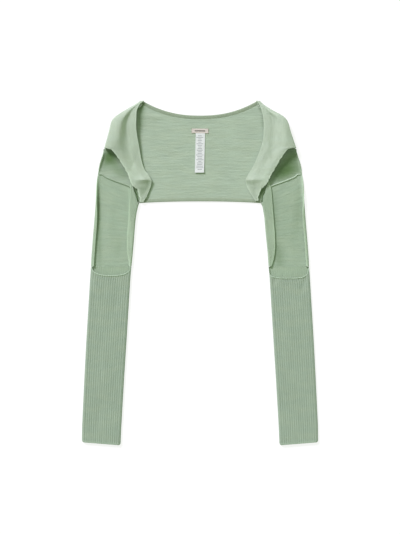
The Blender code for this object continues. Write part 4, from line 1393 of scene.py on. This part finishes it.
def sleeve_section(side, index):
    """One row of the upper sleeve, from its free lip round to the strip's edge."""
    rows = SLEEVES[side]
    row = rows[index]
    share = index / (len(rows) - 1)
    turned = ease(share * LIP_TURN_RATE)
    outward = Vector((float(side), 0.0, 0.0))
    tip = Vector((row.outer_x, row.outer_y, 0.0))
    lip = curled_edge(tip, outward, SLEEVE_LIP_LENGTH, mix(LIP_ANGLE_TOP, LIP_ANGLE_MOUTH, turned),
                      mix(0.0, LIP_FLAT_MOUTH, turned), LIP_STEPS)
    fold_tip = Vector((row.inner_x, row.inner_y, 0.0))
    centre = fold_tip + outward * SLEEVE_FOLD_REACH
    fade = (1.0 - share) ** SEAM_FADE_POWER
    flat = []
    for across, drop in seam_drops(side):
        flat.append(lip[0].lerp(centre, across) + Vector((0.0, drop * fade, 0.0)))
    fold = []
    for step in steps(SLEEVE_FOLD_STEPS)[1:]:
        turn = math.pi * (step - 0.5)
        rise = 0.5 * SLEEVE_FOLD_HEIGHT * (1.0 + math.sin(turn))
        fold.append(centre - outward * (SLEEVE_FOLD_REACH * math.cos(turn)) + Vector((0, 0, rise)))
    edge = Vector((row.strip_x, row.strip_y, STRIP_EDGE_Z))
    strip = [fold[-1].lerp(edge, step) for step in steps(STRIP_STEPS)[1:]]
    return list(reversed(lip))[:-1] + flat + fold + strip


def sleeve_sheet(side, knit):
    """One upper sleeve as a grid, armhole seam to ribbing."""
    rows = [sleeve_section(side, index) for index in range(len(SLEEVES[side]))]
    walls, edges = [], []
    for row in rows:
        total = line_length(row)
        run = 0.0
        wall_row, edge_row = [], []
        for index, point in enumerate(row):
            run += (point - row[max(index - 1, 0)]).length
            wall, edge = bead(min(run, total - run), knit)
            crease = crease_height(SLEEVE_CREASES, point.x, point.y) / knit.cloth
            wall_row.append(wall + (crease if point.z < CREASE_LEVEL else 0.0))
            edge_row.append(edge)
        walls.append(wall_row)
        edges.append(edge_row)
    return make_sheet(rows, walls, edges)


def tube_spots(side, row, wall, sleeve):
    """One ring of the ribbed sleeve, as (point, place across, share on the top layer)."""
    outer = Vector((-side * row.outer_x, row.outer_y, 0.0))
    inner = Vector((-side * row.inner_x, row.inner_y, 0.0))
    across = (inner - outer).normalized()
    half = 0.5 * TUBE_HEIGHT - wall
    start = outer + across * (0.5 * TUBE_HEIGHT)
    end = inner - across * (0.5 * TUBE_HEIGHT)
    middle = Vector((0, 0, 0.5 * TUBE_HEIGHT))
    relief = sleeve.rib_relief if wall == 0.0 else sleeve.inner_relief
    count = sleeve.ribs * POINTS_PER_RIB
    spots = []
    for number in range(count + 1):
        share = number / count
        groove = abs(math.cos(math.pi * number / POINTS_PER_RIB)) ** RIB_SHARPNESS
        depth = 0.5 * relief * groove if wall == 0.0 else -relief * (1.0 - groove)
        spots.append((start.lerp(end, share) + middle - Vector((0, 0, half - depth)), share, 0.0))
    for share in steps(TUBE_SIDE_STEPS)[1:-1]:
        turn = math.pi * (share - 0.5)
        side_point = across * math.cos(turn) + Vector((0, 0, math.sin(turn)))
        spots.append((end + middle + side_point * half, 1.0, ease(2.0 * share - 1.0)))
    for number in range(count + 1):
        share = 1.0 - number / count
        raised = 1.0 - abs(math.cos(math.pi * number / POINTS_PER_RIB)) ** RIB_SHARPNESS
        height = relief * raised if wall == 0.0 else -relief * raised
        top = start.lerp(end, share) + middle + Vector((0, 0, half + height))
        spots.append((top, share, 1.0))
    for share in steps(TUBE_SIDE_STEPS)[1:-1]:
        turn = math.pi * (0.5 + share)
        side_point = across * math.cos(turn) + Vector((0, 0, math.sin(turn)))
        spots.append((start + middle + side_point * half, 0.0, ease(1.0 - 2.0 * share)))
    return spots


def tube_row(place):
    """Sleeve row at a share of the way from the mouth to the cuff, with round cuff corners."""
    table = np.array(TUBE_ROWS)
    lengths = table[0][1] - table[:, 1]
    spot = place * lengths[-1]
    row = TubeRow(*[np.interp(spot, lengths, table[:, column]) for column in range(table.shape[1])])
    turn = max(1.0 - (lengths[-1] - spot) / CUFF_ROUND, 0.0)
    pull = CUFF_PULL * (1.0 - math.sqrt(1.0 - turn * turn))
    return row._replace(outer_x=row.outer_x + pull, inner_x=row.inner_x - pull)


def tube_ring(side, row, wall, sleeve, bead_share):
    """Points of one ring, with the mouth's bow, its raised edge and the creases."""
    ring = []
    for point, share, on_top in tube_spots(side, row, wall, sleeve):
        bow = math.sqrt(max(1.0 - abs(2.0 * share - 1.0) ** MOUTH_POWER[side], 0.0))
        least = mix(*MOUTH_ENDS[side], share)
        point.y -= MOUTH_DEPTH[side] * row.mouth_share * mix(least, 1.0, bow) * on_top
        level = on_top * ease(min(share, 1.0 - share) * TUBE_CREASE_FADE)
        crease = crease_height(TUBE_CREASES, point.x, point.y)
        point.z += level * (sleeve.mouth_bead * bead_share + crease)
        ring.append(point)
    return ring


def make_tube(side, word):
    """One ribbed sleeve, with ribs on both faces and rounded free edges."""
    scene = bpy.context.scene
    knit, sleeve = scene.shrug_knit, scene.shrug_sleeves
    wall = knit.cloth
    places = [CUFF_START * share ** RING_CROWDING for share in steps(TUBE_RINGS)]
    places += [mix(CUFF_START, 1.0, math.sin(0.5 * math.pi * share)) for share in steps(CUFF_STEPS)[1:]]
    reach = TUBE_ROWS[0].outer_y - TUBE_ROWS[-1].outer_y
    tops = np.array([spot[2] for spot in tube_spots(side, TUBE_ROWS[0], 0.0, sleeve)])
    rings, inner_rings, edge_rows = [], [], []
    for place_share in places:
        row = tube_row(place_share)
        near = near_edge(place_share * reach, knit)
        rings.append(tube_ring(side, row, 0.0, sleeve, near))
        inner_rings.append(tube_ring(side, row, wall, sleeve, near))
        cuff = near_edge((1.0 - place_share) * reach, knit)
        edge_rows.append(tops * (MOUTH_GLOW * near) + CUFF_GLOW * cuff)
    inner_rings.reverse()
    cuff_rim = rim_rings(rings[-1], inner_rings[0], Vector((0, -1, 0)), np.ones(len(tops)), wall)
    mouth_rim = rim_rings(inner_rings[-1], rings[0], Vector((0, 1, 0)), tops, wall)
    loops = rings + cuff_rim + inner_rings + mouth_rim
    masks = edge_rows + [edge_rows[-1]] * len(cuff_rim)
    masks += edge_rows[::-1] + [edge_rows[0]] * len(mouth_rim)
    around = np.linalg.norm(np.diff(as_grid([rings[0]])[0], axis=0), axis=1)
    u_values = np.concatenate([[0.0], np.cumsum(around)])
    points, knit_map = [], []
    run = 0.0
    for number, loop in enumerate(loops):
        if number:
            run += (loop[0] - loops[number - 1][0]).length
        points.extend(loop)
        knit_map.extend((u, -run) for u in u_values)
    count = len(tops)
    faces = []
    for row in range(len(loops)):
        after = (row + 1) % len(loops)
        for index in range(count):
            other = (index + 1) % count
            faces.append((row * count + index, after * count + index,
                          after * count + other, row * count + other))
    piece = make_mesh(word + "_ribbed_sleeve_knit", points, faces, knit_map,
                      {PAINTED_HIGHLIGHT_MASK: np.concatenate(masks)})
    fix_faces(piece)
    piece.data.materials.append(finish("Rib outside"))
    piece.data.materials.append(finish("Rib inside"))
    inside_start = (len(rings) + len(cuff_rim)) * count
    inside_end = inside_start + (len(inner_rings) - 1) * count
    for face in piece.data.polygons[inside_start:inside_end]:
        face.material_index = 1
    return piece


def rim_rings(first, second, outward, shares, wall):
    """Rings that round off the edge between two rings, strongest where shares are 1."""
    rings = []
    for step in steps(RIM_STEPS)[1:-1]:
        turn = math.pi * step
        ring = []
        for start, end, share in zip(first, second, shares):
            bulge = outward * (0.5 * wall * math.sin(turn) * share)
            ring.append(start.lerp(end, 0.5 - 0.5 * math.cos(turn)) + bulge)
        rings.append(ring)
    return rings


def fix_faces(piece):
    """Turns all faces of a closed mesh outwards."""
    work = bmesh.new()
    work.from_mesh(piece.data)
    bmesh.ops.recalc_face_normals(work, faces=work.faces)
    work.to_mesh(piece.data)
    work.free()


def bar_faces(first, rings, count):
    """Faces of a strip through closed rings of points, capped at both ends."""
    faces = []
    for number in range(rings - 1):
        start = first + number * count
        for index in range(count):
            other = (index + 1) % count
            faces.append((start + index, start + other, start + count + other, start + count + index))
    faces.append(tuple(first + index for index in reversed(range(count))))
    faces.append(tuple(first + (rings - 1) * count + index for index in range(count)))
    return faces


def make_bar(name, rings, finish_name, edge=0.0, depth=0.0, painted_light=NO_PAINTED_LIGHT):
    """A solid strip through closed rings of points."""
    points, knit_map = [], []
    run = 0.0
    for number, ring in enumerate(rings):
        if number:
            run += (ring[0] - rings[number - 1][0]).length
        around = 0.0
        for index, point in enumerate(ring):
            around += (point - ring[index - 1]).length if index else 0.0
            points.append(point)
            knit_map.append((run, around))
    # edge and depth are the strip's painted highlight and painted shade
    masks = {PAINTED_HIGHLIGHT_MASK: [edge] * len(points), PAINTED_SHADE_MASK: [depth] * len(points)}
    faces = bar_faces(0, len(rings), len(rings[0]))
    piece = make_mesh(name, points, faces, knit_map, masks, painted_light)
    fix_faces(piece)
    piece.data.materials.append(finish(finish_name))
    return piece


def rolled_band(name, line, half_width, inward):
    """A narrow rolled band along a line of the back."""
    bands = bpy.context.scene.shrug_bands
    rings = []
    for share in steps(BAND_RINGS):
        x = mix(-half_width, half_width, share)
        lean = (line(x + LEAN_STEP) - line(x - LEAN_STEP)) / (2.0 * LEAN_STEP)
        level = ease((half_width - abs(x)) / BAND_TAPER)
        tall = mix(NECK_BAND_END_HEIGHT, bands.roll_height, level)
        width = bands.roll_width + BAND_OVERLAP
        across = Vector((-lean, 1.0, 0.0)).normalized() * (width * inward)
        edge = Vector((x, line(x), 0.0))
        ring = []
        for index in range(BAND_RING_POINTS):
            turn = 2.0 * math.pi * index / BAND_RING_POINTS
            width_share = 0.5 - 0.5 * rounded(math.cos(turn))
            height_share = 0.5 + 0.5 * rounded(math.sin(turn))
            height_share *= 1.0 - BAND_SLOPE * width_share
            ring.append(edge + across * width_share + Vector((0, 0, tall * height_share)))
        rings.append(ring)
    return make_bar(name, rings, "Rolled jersey", painted_light=BACK_PAINTED_SHADE)


def rounded(value):
    return math.copysign(abs(value) ** BAND_ROUNDNESS, value)


def make_ridge(name, line, radius, base_z, finish_name, edge, depth):
    """A sewn seam that stands up as a low round ridge along a line on the cloth."""
    rings = []
    for index, spot in enumerate(line):
        before = line[max(index - 1, 0)]
        after = line[min(index + 1, len(line) - 1)]
        run = (after - before).normalized()
        aside = Vector((-run.y, run.x, 0.0))
        share = index / (len(line) - 1)
        size = radius * mix(RIDGE_END_SHARE, 1.0, ease(min(share, 1.0 - share) * RIDGE_FADE))
        ring = []
        for step in range(SEAM_RING_POINTS):
            turn = 2.0 * math.pi * step / SEAM_RING_POINTS
            lift = Vector((0, 0, base_z + size * (RIDGE_LIFT + math.sin(turn))))
            ring.append(spot + aside * (RIDGE_WIDTH * size * math.cos(turn)) + lift)
        rings.append(ring)
    return make_bar(name, rings, finish_name, edge, depth)


class SHRUG_OT_fronts(bpy.types.Operator):
    """Build both fronts with their shoulder folds and bands"""

    bl_idname = "shrug.fronts"
    bl_label = "Fronts and Front Bands"

    def execute(self, context):
        knit = context.scene.shrug_knit
        bands = context.scene.shrug_bands
        for side, word in SIDES:
            top, wrap, band = front_sheets(side, knit, bands)
            flip = side == LEFT
            front = make_shell(word + "_front_knit", (top, wrap), flip, knit.cloth,
                               "Jersey outside", "Jersey inside", FRONT_PAINTED_SHADE_AND_LIGHT)
            place(front, KNIT_SLOT, word + "_front")
            edge = make_shell(word + "_front_band_knit", (band,), flip, knit.band_cloth,
                              "Jersey outside", "Jersey inside", FRONT_PAINTED_SHADE_AND_LIGHT)
            place(edge, KNIT_SLOT, word + "_front_band")
            shown = range(ROWS_PER_STEP, LAST_FOLDED + 1, 2)
            line = [between_folded(side, index, table_seam) for index in shown]
            seam = make_ridge(word + "_shoulder_seam", line, bands.seam_radius, knit.cloth,
                              "Jersey inside", SHOULDER_SEAM_HIGHLIGHT, 0.0)
            place(seam, KNIT_SLOT)
        return {"FINISHED"}


class SHRUG_OT_back(bpy.types.Operator):
    """Build the back panel, seen from its inside, and its rolled bands"""

    bl_idname = "shrug.back"
    bl_label = "Back Panel and Rolled Bands"

    def execute(self, context):
        knit = context.scene.shrug_knit
        back = make_shell("back_panel_knit", (back_sheet(knit),), True, knit.cloth,
                          "Jersey outside", "Jersey inside", BACK_PAINTED_SHADE)
        place(back, KNIT_SLOT, "back_panel")
        neck = rolled_band("back_neck_band_knit", neck_line, NECK_BAND_END_X + NECK_BAND_UNDER, -1.0)
        place(neck, KNIT_SLOT, "back_neck_band")
        hem = rolled_band("hem_band_knit", hem_line, HEM_BAND_END_X, 1.0)
        place(hem, KNIT_SLOT, "hem_band")
        return {"FINISHED"}


class SHRUG_OT_upper_sleeves(bpy.types.Operator):
    """Build both upper sleeves and the ridges of the armhole seams"""

    bl_idname = "shrug.upper_sleeves"
    bl_label = "Upper Sleeves"

    def execute(self, context):
        knit = context.scene.shrug_knit
        sleeve = context.scene.shrug_sleeves
        for side, word in SIDES:
            shell = make_shell(word + "_upper_sleeve_knit", (sleeve_sheet(side, knit),),
                               side == RIGHT, knit.cloth, "Sleeve outside", "Sleeve inside",
                               SLEEVE_PAINTED_SHADE_AND_LIGHT)
            place(shell, KNIT_SLOT, word + "_upper_sleeve")
            line = [Vector((-side * spot.x, spot.y, 0.0)) for spot in SEAM_LINE]
            shown = [spot for spot in line if spot.y > ARMHOLE_RIDGE_END_Y]
            hidden = [spot for spot in line if spot.y < ARMHOLE_RIDGE_END_Y + ARMHOLE_RIDGE_LAP]
            seam = make_ridge(word + "_armhole_seam", shown, sleeve.seam_radius,
                              knit.cloth + ARMHOLE_RIDGE_RISE, "Jersey inside", *SEAM_PAINTED_LIGHT[side])
            place(seam, KNIT_SLOT)
            underarm = make_ridge(word + "_underarm_seam", hidden, sleeve.underarm_radius,
                                  UNDERARM_BASE_SHARE * knit.cloth, "Jersey inside", 0.0,
                                  UNDERARM_PAINTED_SHADE)
            place(underarm, KNIT_SLOT)
            mouth = TUBE_ROWS[0]
            first = Vector((-side * (mouth.outer_x + JOINT_LAP), mouth.outer_y, 0.0))
            last = Vector((-side * (mouth.inner_x - JOINT_LAP), mouth.inner_y, 0.0))
            joint_line = [first.lerp(last, share) for share in steps(JOINT_STEPS)]
            joint = make_ridge(word + "_rib_joint_seam", joint_line, sleeve.joint_radius,
                               JOINT_BASE_SHARE * knit.cloth, "Sleeve inside", 0.0, 0.0)
            place(joint, KNIT_SLOT)
        return {"FINISHED"}


class SHRUG_OT_ribbed_sleeves(bpy.types.Operator):
    """Build both ribbed lower sleeves"""

    bl_idname = "shrug.ribbed_sleeves"
    bl_label = "Ribbed Sleeves"

    def execute(self, context):
        for side, word in SIDES:
            tube = make_tube(side, word)
            place(tube, RIB_SLOT, word + "_ribbed_sleeve")
        return {"FINISHED"}


class SHRUG_OT_labels(bpy.types.Operator):
    """Build the neck label and the care label, with their stitches"""

    bl_idname = "shrug.labels"
    bl_label = "Labels"

    def execute(self, context):
        labels = context.scene.shrug_labels
        low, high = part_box("neck_label")
        neck = label_piece("neck_label_tape", low, high, 0.0, labels, "Beige woven tape", 0.0)
        place(neck, WOVEN_SLOT, "neck_label")
        stitches = label_stitches(low, high)
        place(stitches, WOVEN_SLOT)
        low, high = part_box("care_label")
        care = label_piece("care_label_tape", low, high, CARE_LABEL_LEAN, labels,
                           "White satin tape", labels.lift)
        place(care, SATIN_SLOT, "care_label")
        return {"FINISHED"}


def label_piece(name, low, high, lean, labels, finish_name, lift):
    """A tape in the place of its solid, with a slight wave and a lifted lower end."""
    width, height = high.x - low.x - lean, high.y - low.y
    centre = (low + high) / 2
    rows = []
    for down in steps(LABEL_ROWS):
        y = mix(high.y, low.y, down)
        shift = lean * (0.5 - down)
        rise = low.z + LABEL_BASE + lift * down ** LABEL_LIFT_POWER
        row = []
        for across in steps(LABEL_COLUMNS):
            x = centre.x + shift + mix(-0.5, 0.5, across) * width
            waves = down * LABEL_WAVES_DOWN + across * LABEL_WAVES_ACROSS
            row.append(Vector((x, y, rise + LABEL_WAVE * math.sin(2.0 * math.pi * waves))))
        rows.append(row)
    sheet = make_sheet(rows, even(rows, 1.0), even(rows, 0.0))
    plan = sheet.points[:, :, :2] - np.array([centre.x, centre.y])
    sheet = sheet._replace(knit=plan)
    return make_shell(name, (sheet,), False, labels.cloth, finish_name, finish_name)


def label_stitches(low, high):
    """Short threads along both ends of the neck label."""
    points, faces = [], []
    for end_x, inward in ((low.x, 1.0), (high.x, -1.0)):
        for share in steps(THREAD_STEPS_DOWN):
            y = mix(low.y + THREAD_INSET, high.y - THREAD_INSET, share)
            start = Vector((end_x - inward * THREAD_OUT, y, high.z - THREAD_DROP))
            stop = Vector((end_x + inward * THREAD_IN, y + THREAD_SLANT, high.z))
            faces.extend(bar_faces(len(points), THREAD_STEPS + 1, THREAD_SIDES))
            for spot_share in steps(THREAD_STEPS):
                arch = THREAD_ARCH * math.sin(math.pi * spot_share)
                spot = start.lerp(stop, spot_share) + Vector((0, 0, arch))
                for step in range(THREAD_SIDES):
                    turn = 2.0 * math.pi * step / THREAD_SIDES
                    around = Vector((0.0, math.cos(turn), math.sin(turn)))
                    points.append(spot + around * THREAD_RADIUS)
    piece = make_mesh("neck_label_stitches", points, faces, [(0.0, 0.0)] * len(points), {})
    fix_faces(piece)
    piece.data.materials.append(finish("Sewing thread"))
    return piece


class SHRUG_OT_stage(bpy.types.Operator):
    """Set the floor, the soft light and the camera"""

    bl_idname = "shrug.stage"
    bl_label = "Stage"

    def execute(self, context):
        scene = context.scene
        stage = scene.shrug_stage
        bpy.ops.mesh.primitive_plane_add(size=stage.floor_size, location=(0.0, 0.0, -SEAM_GAP))
        floor = context.active_object
        floor.name = "shrug_floor"
        material, _, shader = start_material("White light table", FLOOR_ROUGHNESS)
        shader.inputs["Base Color"].default_value = (*[stage.floor_colour] * 3, 1.0)
        shader.inputs["Emission Color"].default_value = (1.0, 1.0, 1.0, 1.0)
        shader.inputs["Emission Strength"].default_value = stage.floor_glow
        floor.data.materials.append(material)
        world = bpy.data.worlds.new("Even studio light")
        world.use_nodes = True
        air = Tree(world.node_tree)
        seen = air.node("ShaderNodeLightPath").outputs["Is Camera Ray"]
        colour = air.blend(seen, opaque(stage.fill_colour), opaque(stage.backdrop_colour))
        air.join(colour, world.node_tree.nodes["Background"].inputs["Color"])
        world.node_tree.nodes["Background"].inputs["Strength"].default_value = stage.fill
        scene.world = world
        add_key_light(stage)
        scene.view_settings.view_transform = "Standard"
        camera_data = bpy.data.cameras.new("Camera")
        camera_data.sensor_width = SENSOR_WIDTH
        camera_data.lens = SENSOR_WIDTH * stage.camera_height / stage.frame_length
        camera = bpy.data.objects.new("Camera", camera_data)
        camera.location = (0.0, stage.frame_centre_y, stage.camera_height)
        scene.collection.objects.link(camera)
        scene.camera = camera
        return {"FINISHED"}


def add_key_light(stage):
    """A broad even light from the upper left, low over the floor."""
    data = bpy.data.lights.new("Key light", "SUN")
    data.energy = stage.key
    data.color = stage.key_colour
    data.angle = stage.key_softness
    light = bpy.data.objects.new("Key light", data)
    level = math.cos(stage.key_height)
    source = Vector((-level * math.sin(stage.key_side), level * math.cos(stage.key_side),
                     math.sin(stage.key_height)))
    light.rotation_mode = "QUATERNION"
    light.rotation_quaternion = (-source).to_track_quat("-Z", "Y")
    bpy.context.scene.collection.objects.link(light)


class SHRUG_PT_panel(bpy.types.Panel):
    """Sizes, colours and building steps of the shrug"""

    bl_label = "Knitted Shrug"
    bl_idname = "SHRUG_PT_panel"
    bl_space_type = "VIEW_3D"
    bl_region_type = "UI"
    bl_category = "Shrug"

    def draw(self, context):
        layout = self.layout
        scene = context.scene
        groups = (scene.shrug_knit, scene.shrug_bands, scene.shrug_sleeves,
                  scene.shrug_labels, scene.shrug_stage)
        for group in groups:
            box = layout.box()
            for name in group.__annotations__:
                box.prop(group, name)
        for operator in OPERATORS:
            layout.operator(operator.bl_idname)


SETTINGS = (
    ("shrug_knit", KnitSettings),
    ("shrug_bands", BandSettings),
    ("shrug_sleeves", SleeveSettings),
    ("shrug_labels", LabelSettings),
    ("shrug_stage", StageSettings),
)
OPERATORS = (
    SHRUG_OT_stage,
    SHRUG_OT_back,
    SHRUG_OT_fronts,
    SHRUG_OT_upper_sleeves,
    SHRUG_OT_ribbed_sleeves,
    SHRUG_OT_labels,
)


def register():
    for name, group in SETTINGS:
        bpy.utils.register_class(group)
        setattr(bpy.types.Scene, name, bpy.props.PointerProperty(type=group))
    for operator in OPERATORS:
        bpy.utils.register_class(operator)
    bpy.utils.register_class(SHRUG_PT_panel)


def unregister():
    bpy.utils.unregister_class(SHRUG_PT_panel)
    for operator in reversed(OPERATORS):
        bpy.utils.unregister_class(operator)
    for name, group in reversed(SETTINGS):
        delattr(bpy.types.Scene, name)
        bpy.utils.unregister_class(group)


def main():
    """Builds the whole garment and its stage."""
    register()
    bpy.ops.shrug.stage()
    bpy.ops.shrug.back()
    bpy.ops.shrug.fronts()
    bpy.ops.shrug.upper_sleeves()
    bpy.ops.shrug.ribbed_sleeves()
    bpy.ops.shrug.labels()


if __name__ == "__main__":
    main()
